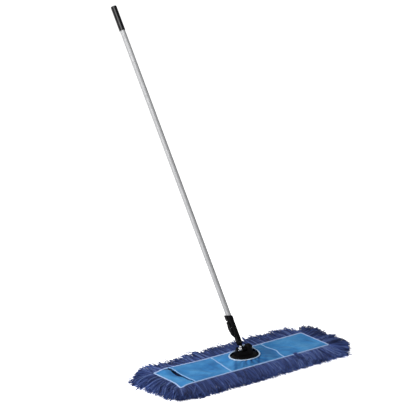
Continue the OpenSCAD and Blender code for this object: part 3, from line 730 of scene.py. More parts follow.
def middle_grid():
    n, rows = 264, 24
    out = middle_outline(n)
    a = np.arctan2(out[:, 1] / RING_B, (out[:, 0] - BASE_X) / RING_A)
    inn = np.stack([BASE_X + RING_A * np.cos(a), RING_B * np.sin(a)], -1)
    s = np.linspace(0, 1, rows)[None, :, None]
    xy = out[:, None] * (1 - s) + inn[:, None] * s
    x, y = xy[..., 0], xy[..., 1]
    t = np.broadcast_to(s[..., 0], x.shape)
    ring = ring_height(inn[:, 0], inn[:, 1]) - 2.9
    rise = smooth(t, 0.1, 1.25) / smooth(np.array(1.0), 0.1, 1.25)
    z = Z_CLOTH + (ring[:, None] - Z_CLOTH) * (0.35 * rise + 0.65 * np.clip((t - 0.1) / 0.9, 0, 1) ** 1.15)
    rim = 1 - smooth(t, 0.06, 0.22)
    z = z + rim * (cloth_height(x, y) - z)
    free = smooth(t, 0.12, 0.4) * (1 - smooth(t, 0.86, 1.0))
    z = z + free * (1.0 * slow(x, y) + 1.0 * mid_wave(x, y))
    for p, q, w, h in [((-120, 60), (-50, 15), 8, 2.0), ((-95, -60), (-48, -20), 7, 1.8), ((95, 15), (160, 60), 8, 1.7), ((85, -25), (150, -75), 8, 2.0), ((-105, 20), (-62, 2), 7, -1.6)]:
        z = z + free * 1.5 * ridge(x, y, p, q, w, h)
    deg = np.degrees(a)[:, None]
    painted_shade = np.zeros(x.shape)
    for at, w, deep, reach in PUCKERS:
        off = (deg - at + 180) % 360 - 180
        off = off + 3.0 * np.sin(at * 7.0) * (1 - t)  # they wander as they run out
        wid = w * (0.7 + 0.5 * (1 - t))
        g = 0.6 * np.exp(-((off / wid) ** 2)) - 0.8 * np.exp(-(((off - 1.45 * wid) / (0.8 * wid)) ** 2))
        z = z + deep * g * smooth(t, max(0.12, 1 - reach), 1 - 0.5 * reach) * (1 - 0.6 * smooth(t, 0.88, 1.0))
        # painted shade: the valleys of the front gathers and the cloth beside them are darkened
        painted_shade = np.maximum(painted_shade, 0.40 * deep / 4.6 * np.exp(-(((off - 1.45 * wid) / (0.85 * wid)) ** 2)) * smooth(t, 0.02, 0.3))
    # painted shade over the strip in front of the opening, and a little to the right of the opening
    front = np.exp(-(((deg + 72) / 62) ** 2))
    painted_shade = painted_shade * smooth(-y, -20, 30) + 0.42 * front * smooth(t, 0.0, 0.3) + 0.22 * np.exp(-(((deg - 8) / 40) ** 2))
    across = 0.784 * x - 0.62 * y  # soft creases slant over the strip in front of the opening, darkened with painted shade
    for c, w, deep in ((-54, 5, 0.20), (-28, 8.5, 0.62), (6, 4.5, 0.45), (36, 5, 0.30), (70, 5, 0.50), (100, 10, 0.22)):
        painted_shade = painted_shade + deep * np.exp(-(((across - c) / w) ** 2)) * smooth(-y, 20, 55) * smooth(t, 0.0, 0.2)
    painted_shade = np.clip(painted_shade, 0, 1)
    return np.stack([x, y, z], -1), painted_shade


def make_backing(mat):
    nx, ny = 160, 38
    x, y = np.meshgrid(np.linspace(-PX + 0.2, PX - 0.2, nx), np.linspace(-PY + 0.2, PY - 0.2, ny), indexing="ij")
    free = smooth(np.minimum(PX - np.abs(x), PY - np.abs(y)), 0, 20)
    z = Z_BACK - free * 0.35 * (1 + np.tanh(waves(40, 45)(x, y)))
    # each tufted row draws the cloth down a little
    for r in range(5):
        z = z - 0.25 * np.exp(-(((y - (r - 2) * 38.0) / 7) ** 2))
    ob = shell("backing_cloth", np.stack([x, y, z], -1), CT, mat)
    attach(ob, "head")
    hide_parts("backing_base")
    return ob


# ---------- tapes, bindings and stitches ----------


def stitch_tubes(points, normals, size=(2.6, 0.42), every=4.0, sink=0.05):
    """Short thread stitches along a line of points that lies on a surface."""
    L = np.concatenate([[0], np.cumsum(np.linalg.norm(np.diff(points, axis=0), axis=1))])
    at = np.arange(every * 0.5, L[-1] - every * 0.5, every)
    paths = []
    for f in np.linspace(-0.5, 0.5, 4):
        s = np.clip(at + f * size[0], 0, L[-1])
        p = np.stack([np.interp(s, L, points[:, i]) for i in range(3)], -1)
        nn = unit(np.stack([np.interp(s, L, normals[:, i]) for i in range(3)], -1))
        paths.append(p + nn * (size[1] * (0.55 - 3.2 * f * f) - sink))
    P = np.stack(paths, 1)
    R = np.broadcast_to(np.array([0.6, 1.0, 1.0, 0.6]) * size[1], P.shape[:2])
    return tube_mesh(P, R, 5)


def join(*meshes):
    """Several (co, quads-and-tris lists) as one."""
    co, by = [], {}
    n = 0
    for c, faces, slot in meshes:
        co.append(c)
        for f in faces:
            by.setdefault((f.shape[1], slot), []).append(f + n)
        n += len(c)
    keys = sorted(by)
    faces = [np.concatenate(by[k]) for k in keys]
    slots = np.concatenate([np.full(len(f), k[1]) for k, f in zip(keys, faces)])
    return np.concatenate(co), faces, slots


def rounded_rect(hx, hy, r, step=4.0):
    """Points and outward directions round a rectangle with round corners, counter-clockwise."""
    pts, nor = [], []
    for cx, cy, a0 in ((hx - r, -hy + r, -90), (hx - r, hy - r, 0), (-hx + r, hy - r, 90), (-hx + r, -hy + r, 180)):
        for a in np.radians(np.linspace(a0, a0 + 90, 9)):
            pts.append((cx + r * math.cos(a), cy + r * math.sin(a)))
            nor.append((math.cos(a), math.sin(a)))
    P, N = [], []
    for i in range(len(pts)):
        p, q = np.array(pts[i]), np.array(pts[(i + 1) % len(pts)])
        n0, n1 = np.array(nor[i]), np.array(nor[(i + 1) % len(nor)])
        k = max(1, int(np.hypot(*(q - p)) / step))
        for f in np.arange(k) / k:
            P.append(p * (1 - f) + q * f)
            N.append(n0 * (1 - f) + n1 * f)
    return np.array(P), unit(np.array(N))


def make_edge_binding(tape, thread):
    P, N = rounded_rect(400.4, 95.4, 5.0)
    r = np.random.default_rng(5)
    s = np.concatenate([[0], np.cumsum(np.hypot(*np.diff(P, axis=0).T))])
    total = s[-1] + np.hypot(*(P[0] - P[-1]))

    def loop_wave(count, lo, hi):
        w = 0.0
        for k in r.integers(lo, hi, count):
            w = w + r.uniform(0.4, 1) * np.sin(2 * math.pi * k * s / total + r.uniform(0, 6.28))
        return w / math.sqrt(count / 2)

    side, lift, wide = 0.30 * loop_wave(7, 8, 70), 0.22 * loop_wave(7, 10, 90), 0.35 * loop_wave(6, 12, 80)
    path = np.concatenate([P + N * side[:, None], np.zeros((len(P), 1))], 1)
    A = np.concatenate([N, np.zeros((len(P), 1))], 1)
    B = np.broadcast_to(np.array([0.0, 0.0, 1.0]), A.shape)
    # a tape folded over the edge: lip on the cloth, rounded fold, skirt down to the backing, return underneath
    base = np.array([(-3.7, 33.95), (-3.8, 34.55), (-3.2, 34.95), (-1.6, 35.0), (-0.9, 34.75), (0.2, 35.05), (1.4, 34.85), (2.2, 34.2), (2.55, 33.0), (2.6, 29.0), (2.6, 24.5),
                     (2.4, 21.6), (1.6, 20.4), (0.2, 20.1), (-2.6, 20.15), (-3.1, 20.6), (-2.9, 21.2), (-2.4, 24.5), (-2.4, 29.0), (-2.5, 33.2)])
    prof = np.broadcast_to(base[None], (len(P), *base.shape)).copy()
    top = prof[..., 1] > 33.5
    prof[..., 1] += top * lift[:, None]
    broad = wide + 2.8 * np.maximum(0, N[:, 1]) + 0.8 * np.maximum(0, N[:, 0])  # the lip is broader at the back
    prof[..., 0] += (prof[..., 0] < -1.0) * top * broad[:, None] * -1
    co, faces = sweep(path, (A, B), prof)
    faces = outward(co, faces)
    line = np.concatenate([P + N * (side - 1.0)[:, None], (34.85 + lift)[:, None]], 1)
    line = np.concatenate([line, line[:1]])
    up = np.broadcast_to(np.array([0.0, 0.0, 1.0]), line.shape)
    c2, q2, t2 = stitch_tubes(line, up, (2.7, 0.36), 3.6)
    co, faces, slots = join((co, faces, 0), (c2, [q2, t2], 1))
    ob = mesh_object("edge_binding_tape", droop(co), faces, [tape, thread], sharp=60, slots=slots)
    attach(ob, "head")
    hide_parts("edge_binding")
    return ob


def ribbon(x_of, z_of, width, seed, thick=0.95, y0=-PY + 1.2, y1=PY - 1.2):
    """A flat tape across the pad, sewn down near both edges."""
    r = np.random.default_rng(seed)
    y = np.linspace(y0, y1, 62)
    x = x_of(y) + 0.5 * waves(seed, 55)(y * 0 + 3.0, y)
    wob = 0.22 * waves(seed + 1, 30)(y * 0, y)
    d = unit(np.stack([np.gradient(x), np.gradient(y), 0 * y], -1))
    A = np.stack([d[:, 1], -d[:, 0], 0 * y], -1)  # to +x
    h = width / 2
    u = np.array([-h, -h * 0.96, -h * 0.62, -h * 0.5, 0.0, h * 0.5, h * 0.62, h * 0.96, h, h * 0.9, -h * 0.9])
    dz = np.array([0.35, 0.8, 0.98, 0.72, 1.05, 0.72, 0.98, 0.8, 0.35, 0.0, 0.0]) * thick
    co, line_l, line_r = [], [], []
    for i in range(len(y)):
        ui = u * (1 + 0.10 * wob[i])
        px, py = x[i] + A[i, 0] * ui, y[i] + A[i, 1] * ui
        pz = z_of(px, py) + CT / 2 + 0.06 + dz + np.where(dz > 0, 0.12 * wob[i], 0)
        co.append(np.stack([px, py, pz], -1))
        line_l.append(co[-1][3])
        line_r.append(co[-1][5])
    co = np.array(co)
    n, m = co.shape[:2]
    i = np.arange(n - 1)[:, None]
    j = np.arange(m)
    q = np.stack([i * m + j, (i + 1) * m + j, (i + 1) * m + (j + 1) % m, i * m + (j + 1) % m], -1).reshape(-1, 4)
    faces = [q, np.arange(m)[None], (np.arange(m)[::-1] + (n - 1) * m)[None]]
    co = co.reshape(-1, 3)
    faces = outward(co, faces)
    parts = [(co, faces, 0)]
    for line in (line_l, line_r):
        line = np.array(line)
        up = np.broadcast_to(np.array([0.0, 0.0, 1.0]), line.shape)
        c2, q2, t2 = stitch_tubes(line, up, (2.5, 0.32), 3.5)
        parts.append((c2, [q2, t2], 1))
    return parts


def make_tapes(tape, thread):
    parts = ribbon(lambda y: seam(SEAM_L, y), cloth_height, 6.2, 31) + ribbon(lambda y: seam(SEAM_R, y) + bow(y), cloth_height, 6.0, 37)
    co, faces, slots = join(*parts)
    tapes = mesh_object("seam_tape", co, faces, [tape, thread], sharp=60, slots=slots)
    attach(tapes, "head")
    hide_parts("seam_tapes")

    def lifted(x, y):
        near = 1 - smooth(x - slit_line(y), 5, 55)
        return cloth_height(x, y) + near**2 * (3.4 * slit_shape(y) + 0.7)

    co, faces, slots = join(*ribbon(lambda y: slit_line(y) + 4.0 + 1.8 * slit_shape(y), lifted, 5.2, 43))
    hem = mesh_object("slit_hem_tape", droop(co), faces, [tape, thread], sharp=60, slots=slots)
    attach(hem, "head")
    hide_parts("slit_hem")
    return tapes, hem


def make_ring(tape, thread):
    """The bound edge of the oval opening: a rolled tape, a little uneven, with a row of stitches."""
    n = 150
    a = np.linspace(0, 2 * math.pi, n, endpoint=False)
    w1 = sum(c * np.sin(k * a + p) for k, c, p in ((3, 0.45, 0.4), (5, 0.4, 1.9), (8, 0.35, 3.3), (13, 0.25, 0.9), (21, 0.15, 2.2)))
    w2 = sum(c * np.sin(k * a + p) for k, c, p in ((4, 0.4, 2.4), (7, 0.4, 0.3), (11, 0.3, 1.2), (19, 0.2, 4.0)))
    N = unit(np.stack([np.cos(a) / RING_A, np.sin(a) / RING_B, 0 * a], -1))
    x, y = BASE_X + RING_A * np.cos(a), RING_B * np.sin(a)
    path = np.stack([x, y, ring_height(x, y) + 0.35 * w2], -1) + N * (0.35 * w1)[:, None]
    up = ring_lift(x, y)
    tilt = 0.30 + 1.0 * smooth(up, 0.0, 0.75) + 0.05 * w1
    B = np.array([0.0, 0.0, 1.0])[None] * np.cos(tilt)[:, None] + N * np.sin(tilt)[:, None]
    A = N * np.cos(tilt)[:, None] - np.array([0.0, 0.0, 1.0])[None] * np.sin(tilt)[:, None]
    h = 3.0
    base = np.array([(-h, -0.3), (-h * 0.97, 0.8), (-h * 0.8, 1.7), (-h * 0.45, 2.1), (0.05, 2.0), (h * 0.3, 1.55), (h * 0.5, 1.8), (h * 0.8, 1.45), (h, 0.4), (h * 0.95, -0.6),
                     (h * 0.6, -1.3), (0, -1.7), (-h * 0.6, -1.6), (-h * 0.9, -1.1)])
    prof = base[None] * (1 + 0.04 * w2[:, None, None])
    full = 1 + 0.75 * up + 0.22 * np.cos(a) ** 2 - 0.26 * np.maximum(0, -np.sin(a)) ** 2
    prof[..., 0] *= full[:, None]
    co, faces = sweep(path, (A, B), prof)
    faces = outward(co, faces)
    line = path + A * (h * 0.3 * full)[:, None] + B * 1.6
    line = np.concatenate([line, line[:1]])
    nb = np.concatenate([B, B[:1]])
    c2, q2, t2 = stitch_tubes(line, nb, (2.6, 0.36), 3.7)
    co, faces, slots = join((co, faces, 0), (c2, [q2, t2], 1))
    ob = mesh_object("opening_binding_tape", co, faces, [tape, thread], sharp=70, slots=slots)
    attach(ob, "head")
    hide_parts("opening_binding")
    return ob


# ---------- yarn ----------

TOP_S = np.array([0.0, 20, 36, 52, 66, 75, 83, 89, 95, 102, 125])
TOP_Z = {  # top of the stack of strands: the back one stands out level, the others fall to the floor
    "front": np.array([32.6, 30.6, 27.6, 23.8, 19.6, 16.8, 14.0, 11.4, 8.4, 5.0, 2.0]),
    "back": np.array([32.6, 35.0, 36.0, 36.5, 36.5, 36.0, 35.0, 33.5, 31.0, 27.0, 18.0]),
    "left": np.array([32.6, 33.4, 32.6, 30.6, 27.0, 23.5, 19.5, 15.0, 10.5, 6.0, 2.0]),
    "right": np.array([32.6, 36.0, 38.5, 40.0, 41.0, 41.0, 40.0, 38.0, 34.0, 27.0, 12.0]),
}
LOW_S = np.array([0.0, 28, 46, 58, 125])
LOW_Z = np.array([17.0, 12.0, 5.0, 1.8, 1.8])
REACH = {"front": 95.0, "back": 95.0, "left": 98.0, "right": 89.0}
YARN_R = 1.65


def tufts(rng, u0, u1, lo, hi):
    """Random tuft borders from u0 to u1, each from lo to hi wide. Returns a function from a place to its tuft's number, and the tufts' middles."""
    cuts = [u0 - rng.uniform(0, lo)]
    while cuts[-1] < u1:
        cuts.append(cuts[-1] + rng.uniform(lo, hi))
    cuts = np.array(cuts)
    return (lambda u: np.clip(np.searchsorted(cuts, u, "right") - 1, 0, len(cuts) - 2)), (cuts[:-1] + cuts[1:]) / 2


def fringe_paths(rng, root, out, along, u, own, mid, turn, reach, lift, top_z, k=9, draw=0.66):
    """Strand paths. root (n, 2), out and along (n, 2) unit vectors; u: height in the stack, 0 to 1; own and mid: the strand's and its tuft's place along the edge; turn: the way it leans sideways, in radians; reach: in mm; lift: how much the tip rises, in mm; top_z: top of the stack; draw: how far a tuft closes."""
    n = len(u)
    t = np.linspace(0, 1, k)[None] ** 0.92
    s = reach[:, None] * t
    ph, ph2 = rng.uniform(0, 6.28, (n, 1)), rng.uniform(0, 6.28, (n, 1))
    am, am2 = rng.uniform(0.2, 1.9, (n, 1)), rng.uniform(0.1, 1.1, (n, 1))
    f1, f2 = rng.uniform(3.0, 7.0, (n, 1)), rng.uniform(3.0, 6.5, (n, 1))
    # the strands of a tuft draw together towards its tip
    lat = -(own - mid)[:, None] * draw * t**1.6 + np.tan(turn)[:, None] * s * (0.35 + 0.65 * t)
    lat = lat + am * (np.sin(f1 * t + ph) - np.sin(ph)) * t
    top, low = np.interp(s, TOP_S, top_z), np.interp(s, LOW_S, LOW_Z)
    z = low + (top - low) * u[:, None] + lift[:, None] * smooth(t, 0.3, 1.0) * t
    z = z + am2 * np.sin(f2 * t + ph2) * smooth(t, 0.05, 0.4) * 1.2
    z = np.maximum(z, YARN_R + 0.15)
    xy = root[:, None] + out[:, None] * s[..., None] + along[:, None] * lat[..., None]
    return np.concatenate([xy, z[..., None]], -1)


def yarn_radius(rng, n, k):
    t = np.linspace(0, 1, k)[None]
    r = YARN_R * rng.uniform(0.84, 1.14, (n, 1)) * (1 - 0.12 * t)
    r = r * (1 + 0.10 * np.sin(rng.uniform(4, 14, (n, 1)) * t + rng.uniform(0, 6.28, (n, 1))))
    r[:, -1] *= rng.uniform(0.6, 1.2, n)  # some ends fray open
    return r


def yarn_shade(rng, n, tuft_shade):
    s = 0.43 + 0.23 * rng.standard_normal(n) + 0.17 * tuft_shade
    light = rng.random(n) < 0.08
    return np.clip(np.where(light, s + 0.30, s), 0.02, 0.86)


def hollows(u, seed):
    """Smooth random lighter and darker stretches of painted shade along an edge; u (n, 1) counts them."""
    v = np.random.default_rng(seed).standard_normal(80)
    i = np.clip(u[:, 0], 0, 78)
    k = i.astype(int)
    return v[k] + (v[k + 1] - v[k]) * smooth(i - k, 0.0, 1.0)


def edge_fringe(side, seed, half, layers=8, step=3.0):
    """Strand paths along an edge of that half length, on the edge's own axes: x along it, y out from it."""
    rng = np.random.default_rng(seed)
    P, S = [], []
    groups = [tufts(rng, -half, half, 8, 18) for _ in range(4)]
    tuft_data = [(rng.normal(0, 0.17, len(m)), rng.uniform(0.86, 1.08, len(m)), rng.normal(0, 1, len(m)), rng.standard_normal(len(m))) for _, m in groups]
    if side == "front":  # trimmed more evenly
        tuft_data = [(0.75 * lean, 0.985 + 0.4 * (size - 0.97), rise, 0.55 * tone) for lean, size, rise, tone in tuft_data]
    elif side == "back":  # and closer together
        tuft_data = [(0.7 * lean, size, rise, tone) for lean, size, rise, tone in tuft_data]
    for j in range(layers):
        u0 = (j + 0.5) / layers
        x = np.arange(-half + 1.0, half - 0.5, step)
        if side == "front":  # thicker where it fans out to the corner
            x = np.sort(np.concatenate([x, np.arange(-half + 2.4, -half + 75, 3.6)]))
        n = len(x)
        x = x + rng.uniform(-1.2, 1.2, n)
        g = min(3, int(u0 * 4))
        which, mids = groups[g]
        w = which(x)
        lean, size, rise, tone = (d[w] for d in tuft_data[g])
        u = np.clip(u0 + rng.uniform(-0.07, 0.07, n), 0.0, 1.03)
        splay = np.sign(x) * 0.30 * smooth(np.abs(x), half - 55, half)
        stray = rng.random(n) < 0.035
        turn = lean + splay + rng.normal(0, 0.08, n) + np.where(stray, np.clip(rng.normal(0, 0.32, n), -0.5, 0.5), 0)
        # the outer strands of a tuft end sooner, so that it comes to a point
        reach = REACH[side] * size * (1.04 - 0.018 * np.abs(x - mids[w])) * rng.uniform(0.90, 1.05, n) * np.cos(turn) ** 0.6
        reach = np.where(stray, reach * rng.uniform(0.92, 1.04, n), reach)
        spike = np.zeros(n)
        if side == "back":  # worn short at one end, and some tips stand up
            reach = reach * (1 - 0.60 * (1 - smooth(x, -half + 4, -half + 22)))
            reach = reach * (1 - 0.14 * smooth(x, half - 70, half))
            spike = np.where(rng.random(n) < 0.16, rng.uniform(4, 13, n), 0) * (u0 > 0.6)
        lift = rise * (1.0 + 3.0 * u0) + rng.normal(0, 1.6, n) * (0.4 + u0) + np.where(stray, rng.uniform(1, 8, n), 0) * u0 + spike
        root = np.stack([x, np.full(n, -1.5)], -1)
        o = np.tile([0.0, 1.0], (n, 1))
        al = np.tile([1.0, 0.0], (n, 1))
        shade = 0.0
        if side == "front":  # brushed to the left
            turn = turn - 0.20 * (1 - smooth(x, half - 130, half - 25)) - 0.10 * (1 - smooth(x, -half + 5, -half + 80)) + rng.normal(0, 0.07, n)
            # painted shade along the front: darker towards the left end and in a hollow near x = -55, lighter towards
            # the right, with darker and lighter stretches from hollows()
            shade = 0.20 * smooth(x, -120, 80) - 0.16 - 0.06 * (1 - smooth(x, -330, -200)) - 0.12 * np.exp(-(((x + 55) / 45) ** 2))
            shade = shade + 0.10 * hollows((x[:, None] - 6.0 * j + 900) / 34.0, 3304)
            shade = shade + 0.09 * smooth(x, 40, 130) + 0.08 * smooth(x, 190, 290) - 0.12 * (1 - smooth(x, -385, -315))
            reach = reach * (1 - 0.045 * smooth(x, 40, 200) - 0.20 * (1 - smooth(x, -half, -half + 55)))
        elif side == "left":  # brushed to the front
            shade = 0.15 * smooth(x, -0.8 * half, 0.0)
            straight = turn
            turn = np.clip(turn + 0.55 * smooth(x, -1.1 * half, 0.5 * half), -0.7, 0.66)
            reach = reach * (1.04 - 0.11 * smooth(x, 0.55 * half, half)) * np.cos(turn) / np.cos(straight) ** 0.6
        path = fringe_paths(rng, root, o, al, u, x, mids[w], turn, reach + 1.5, lift, TOP_Z[side], draw=0.45 if side == "back" else 0.66)
        if side == "back":  # it lies flatter towards the left end
            flat = u * smooth(x, half - 215, half - 165) * (1 - smooth(x, half - 105, half - 60))
            sunk = 9.0 * flat[:, None] * smooth(np.linspace(0, 1, path.shape[1]), 0.05, 0.6)[None]
            path[..., 2] = np.maximum(path[..., 2] - sunk, YARN_R + 0.15)
        P.append(path)
        wisps = rng.standard_normal(int(half / 2.0) + 8)[((x + half + 3.0) / 4.6).astype(int)]  # two or three strands of one shade
        # painted shade: the lower layers of the stack are darker
        S.append(np.clip(yarn_shade(rng, n, tone) - 0.10 * (1 - u0) + 0.22 * wisps + shade, 0.0, 0.9))
    layer = np.repeat(np.arange(layers), [len(p) for p in P])
    P, S = np.concatenate(P), np.concatenate(S)
    R = yarn_radius(rng, len(P), P.shape[1])
    keep = np.ones(len(P), bool)
    if side == "front":  # thinner underneath
        keep = (layer > 2) | (np.arange(len(P)) % 5 > 0)
    return P[keep], R[keep], S[keep]


def corner_fringe(seed, side_x, side_y, layers=9, per=27):
    """A quarter fan round a corner, on axes that run out from the corner both ways."""
    rng = np.random.default_rng(seed)
    P, S = [], []
    groups = [tufts(rng, 0, math.pi / 2, 0.10, 0.20) for _ in range(3)]
    tuft_data = [(rng.uniform(0.86, 1.08, len(m)), rng.normal(0, 1, len(m)), rng.standard_normal(len(m))) for _, m in groups]
    for j in range(layers):
        u0 = (j + 0.5) / layers
        a = np.linspace(0.14, math.pi / 2 - 0.14, per) + rng.uniform(-0.028, 0.028, per)
        g = min(2, int(u0 * 3))
        which, mids = groups[g]
        w = which(a)
        size, rise, tone = (d[w] for d in tuft_data[g])
        u = np.clip(u0 + rng.uniform(-0.06, 0.06, per), 0.0, 1.03)
        a2 = a + (mids[w] - a) * 0.55
        o = np.stack([np.cos(a2), np.sin(a2)], -1)
        al = np.stack([-np.sin(a2), np.cos(a2)], -1)
        root = np.stack([np.cos(a), np.sin(a)], -1) * 4.5 - 5.0
        turn = rng.normal(0, 0.09, per)
        part = (a / (math.pi / 2))  # from the end edge's side to the long edge's side
        far = REACH[side_x] * (1 - part) + REACH[side_y] * part
        reach = far * size * (1.0 - 1.2 * np.abs(a - mids[w])) * rng.uniform(0.91, 1.05, per) + 1.0
        if (side_x, side_y) == ("right", "back"):
            reach = reach * (1 - 0.66 * smooth(a, 0.90, 1.06) - 0.25 * np.exp(-(((a - 0.63) / 0.06) ** 2)))
        elif side_x == "left":
            reach = reach * (0.90 - 0.15 * smooth(a, 0.70, 1.05) if side_y == "back" else 0.97 - 0.12 * smooth(a, 0.35, 0.8))
        lift = rise * (1.0 + 3.0 * u0) + rng.normal(0, 1.6, per) * (0.4 + u0)
        for i in range(per):
            top_z = TOP_Z[side_x] * (1 - part[i]) + TOP_Z[side_y] * part[i]
            one = slice(i, i + 1)
            P.append(fringe_paths(rng, root[one], o[one], al[one], u[one], np.zeros(1), np.zeros(1), turn[one], reach[one], lift[one], top_z))
        # painted shade: the lower layers of the fan are darker
        S.append(yarn_shade(rng, per, tone) - 0.10 * (1 - u0))
    P, S = np.concatenate(P), np.concatenate(S)
    return P, yarn_radius(rng, len(P), P.shape[1]), S


def placed(P, origin, ax, ay):
    """Paths on an edge's own axes, in the pad's frame."""
    xy = np.array(origin)[None, None] + P[..., :1] * np.array(ax)[None, None] + P[..., 1:2] * np.array(ay)[None, None]
    return np.concatenate([xy, P[..., 2:]], -1)


def lowered(P):
    """The strands follow the pad's front left corner, down to the floor."""
    P = droop(P)
    P[..., 2] = np.maximum(P[..., 2], YARN_R + 0.15)
    return P


def loose_strands():
    """A few strands that got pulled: a tuft that lies over the front binding, and long ones at the left and the front."""
    rng = np.random.default_rng(131)
    ends = []
    for i in range(11):  # over the binding
        x = 211 + rng.uniform(-8, 8)
        ends.append(((x + rng.uniform(-3, 3), -90.0), (x - 4 + rng.uniform(-8, 8), -138 + rng.uniform(-12, 12)), 36.4 + rng.uniform(0, 2.2), 33.0))
    ends.append(((-455, 72), (-534.5, 46.5), 26.0, 1.9))
    ends.append(((-455, 69), (-526, 49), 25.0, 2.2))
    ends.append(((256, -120), (266, -204), 31.0, 2.2))
    ends.append(((30, -120), (18, -203), 31.0, 2.4))
    k = 9
    t = np.linspace(0, 1, k)
    P = []
    for p, q, z0, z1 in ends:
        p, q = np.array(p), np.array(q)
        xy = p[None] * (1 - t[:, None]) + q[None] * t[:, None]
        side = np.array([p[1] - q[1], q[0] - p[0]]) / np.hypot(*(q - p))
        xy = xy + side[None] * (rng.uniform(-2.5, 2.5) * np.sin(math.pi * t))[:, None]
        P.append(np.concatenate([xy, (z0 + (z1 - z0) * t**1.5)[:, None]], 1))
    P = np.array(P)
    return P, yarn_radius(rng, len(P), k), np.clip(0.40 + 0.15 * rng.standard_normal(len(P)), 0.1, 0.8)


def make_fringe(mat):
    made = []
    for name, half, origin, ax, ay, seed in (
        ("front", OX, (0, -OY), (1, 0), (0, -1), 101),
        ("back", OX, (0, OY), (-1, 0), (0, 1), 102),
        ("left", OY, (-OX, 0), (0, -1), (-1, 0), 103),
        ("right", OY, (OX, 0), (0, 1), (1, 0), 104),
    ):
        P, R, S = edge_fringe(name, seed, half)
        P = lowered(placed(P, origin, ax, ay))
        if name == "front":
            p, r, s = loose_strands()
            P, R, S = np.concatenate([P, p]), np.concatenate([R, r]), np.concatenate([S, s])
        ob = strands("fringe_%s_yarn" % name, P, R, S, mat)
        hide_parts("fringe_" + name)
        made.append(ob)
    P, R, S = [], [], []
    for i, (sx, sy) in enumerate(((1, 1), (-1, 1), (-1, -1), (1, -1))):
        p, r, s = corner_fringe(110 + i, "right" if sx > 0 else "left", "back" if sy > 0 else "front")
        P.append(lowered(placed(p, (sx * OX, sy * OY), (sx, 0), (0, sy))))
        R.append(r)
        S.append(s)
    ob = strands("fringe_corners_yarn", np.concatenate(P), np.concatenate(R), np.concatenate(S), mat)
    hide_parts("fringe_corners")
    made.append(ob)
    for ob in made:
        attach(ob, "head")
    return made


def make_pile(mat):
    """The underside: five tufted rows of cut yarn that spread on the floor."""
    rng = np.random.default_rng(77)
    P = []
    k = 6
    t = np.linspace(0, 1, k)[None]
    for row in range(5):
        n = 560
        x0 = rng.uniform(-388, 388, n)
        y0 = (row - 2) * 38.0 + rng.uniform(-3.0, 3.0, n)
        a = rng.uniform(0, 2 * math.pi, n)
        far = rng.uniform(3, 12.5, n)
        dx, dy = np.cos(a) * far * 0.8, np.sin(a) * far
        z0, z1 = 20.7, rng.uniform(1.9, 4.5, n)
        z = z0 + (z1[:, None] - z0) * (1 - (1 - t) ** 1.5)
        s = t**1.6
        x = x0[:, None] + dx[:, None] * s + rng.uniform(-1, 1, (n, 1)) * np.sin(3.2 * t)
        y = y0[:, None] + dy[:, None] * s + rng.uniform(-1, 1, (n, 1)) * np.sin(3.2 * t)
        x = np.clip(x, -389, 389)
        P.append(np.stack([x, y, np.maximum(z, YARN_R + 0.2)], -1))
    P = np.concatenate(P)
    n = len(P)
    ob = strands("yarn_pile_strands", P, yarn_radius(rng, n, k), yarn_shade(rng, n, rng.standard_normal(n) * 0.5), mat)
    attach(ob, "head")
    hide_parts("yarn_pile")
    return ob


# ---------- the carried-over CAD parts ----------


def dress(node, mat, bevel=0.0, segments=2, angle=32):
    """A CAD node's own material, with its split corners welded and its hard edges rounded as moulded or machined ones are."""
    ob = nodes[node]
    if not ob.material_slots:
        ob.data.materials.append(mat)
    for s in ob.material_slots:
        s.material = mat
    w = ob.modifiers.new("weld", "WELD")
    w.merge_threshold = 2e-6
    if bevel:
        b = ob.modifiers.new("edges", "BEVEL")
        b.width, b.segments = bevel * MM, segments
        b.limit_method, b.angle_limit = "ANGLE", math.radians(angle)
        b.use_clamp_overlap = True
        b.harden_normals = False
        b.miter_outer = "MITER_ARC"
    for p in ob.data.polygons:
        p.use_smooth = True
    n = ob.modifiers.new("normals", "WEIGHTED_NORMAL")
    n.keep_sharp = True
    n.weight = 60
    return ob


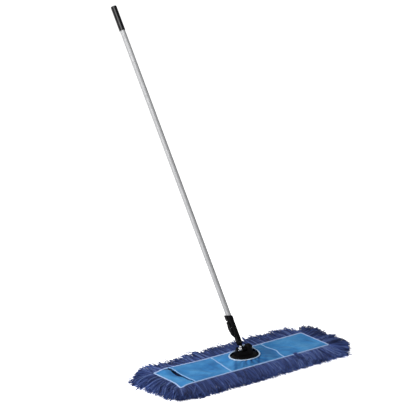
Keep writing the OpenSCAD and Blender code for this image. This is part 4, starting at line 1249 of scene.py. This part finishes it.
def dress_cad():
    black = black_plastic("black_plastic")
    lever = black_plastic("black_plastic_lever", (0.0023, 0.0023, 0.0027), 0.44)
    steel = plated_steel("plated_steel")
    dark = black_steel()
    dress("center_plate", black, 0.9)
    dress("clamp_plate", black, 0.5)
    dress("swivel_block", black, 0.6)
    dress("handle_socket", black, 0.7)
    dress("barrel_cap", black, 0.5)
    dress("tube_plug", black, 0.4)
    dress("release_lever", lever, 0.7)
    dress("handle_tube", tube_metal(), 0.25)
    dress("hand_grip", grip_vinyl(), 0.5)
    fibre = friction_fibre()
    dress("friction_washers", fibre, 0.15)
    for n in ("plate_screws", "frame_wire_left", "frame_wire_right", "friction_spring", "pressure_plate", "yoke_washers", "lever_pin"):
        dress(n, steel, 0.0)
    for n in ("hinge_pin", "pin_clip", "yoke_bolt", "yoke_nut"):
        dress(n, dark, 0.25)


def make_lever_spring():
    """The small coil behind the lever. It shortens when the lever is pressed."""
    turns, x0, x1, r, wire = 3.0, -11.1, -4.4, 2.2, 0.4
    t = np.linspace(0, 1, 97)
    lead = smooth(t, 0.0, 1.0) * 0.35 + t * 0.65  # the end turns lie closer
    a = 2 * math.pi * turns * t
    local = np.stack([x0 + wire + (x1 - x0 - 2 * wire) * lead, r * np.cos(a), 65.0 + r * np.sin(a)], -1)
    P = PIVOT + local[:, :1] * HX + local[:, 1:2] * HY + local[:, 2:] * HZ
    co, quads, tris = tube_mesh(P[None], np.full((1, len(t)), wire), 10, 1.0, HX)
    ob = mesh_object("lever_spring_wire", co, [quads, tris], [bpy.data.materials["plated_steel"]])
    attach(ob, "handle")
    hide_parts("lever_spring")
    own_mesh(ob)
    return ob


# ---------- putting it together ----------

camera()
studio()
dress_cad()

cloth = cloth_mat("pad_cloth", (0.108, 0.370, 0.700), (0.048, 0.252, 0.580), (0.020, 0.145, 0.410))
# the backing is dark navy as painted shade, standing for the shade inside the pad seen through the slit
inner = cloth_mat("backing_cloth", (0.030, 0.050, 0.150), (0.020, 0.034, 0.110), (0.012, 0.020, 0.070), 0.0011)
tape, seam_tape = tape_mat("binding_tape", (0.88, 1.0, 1.02)), tape_mat("seam_tape", (0.66, 0.97, 1.02))
ring_tape, thread = tape_mat("opening_tape", (1.08, 1.14, 0.96)), thread_mat()
yarn = yarn_mat()

panels = make_cloth(cloth)
backing = make_backing(inner)
binding = make_edge_binding(tape, thread)
tapes, hem = make_tapes(seam_tape, thread)
ring = make_ring(ring_tape, thread)
fringes = make_fringe(yarn)
pile = make_pile(yarn)
make_lever_spring()
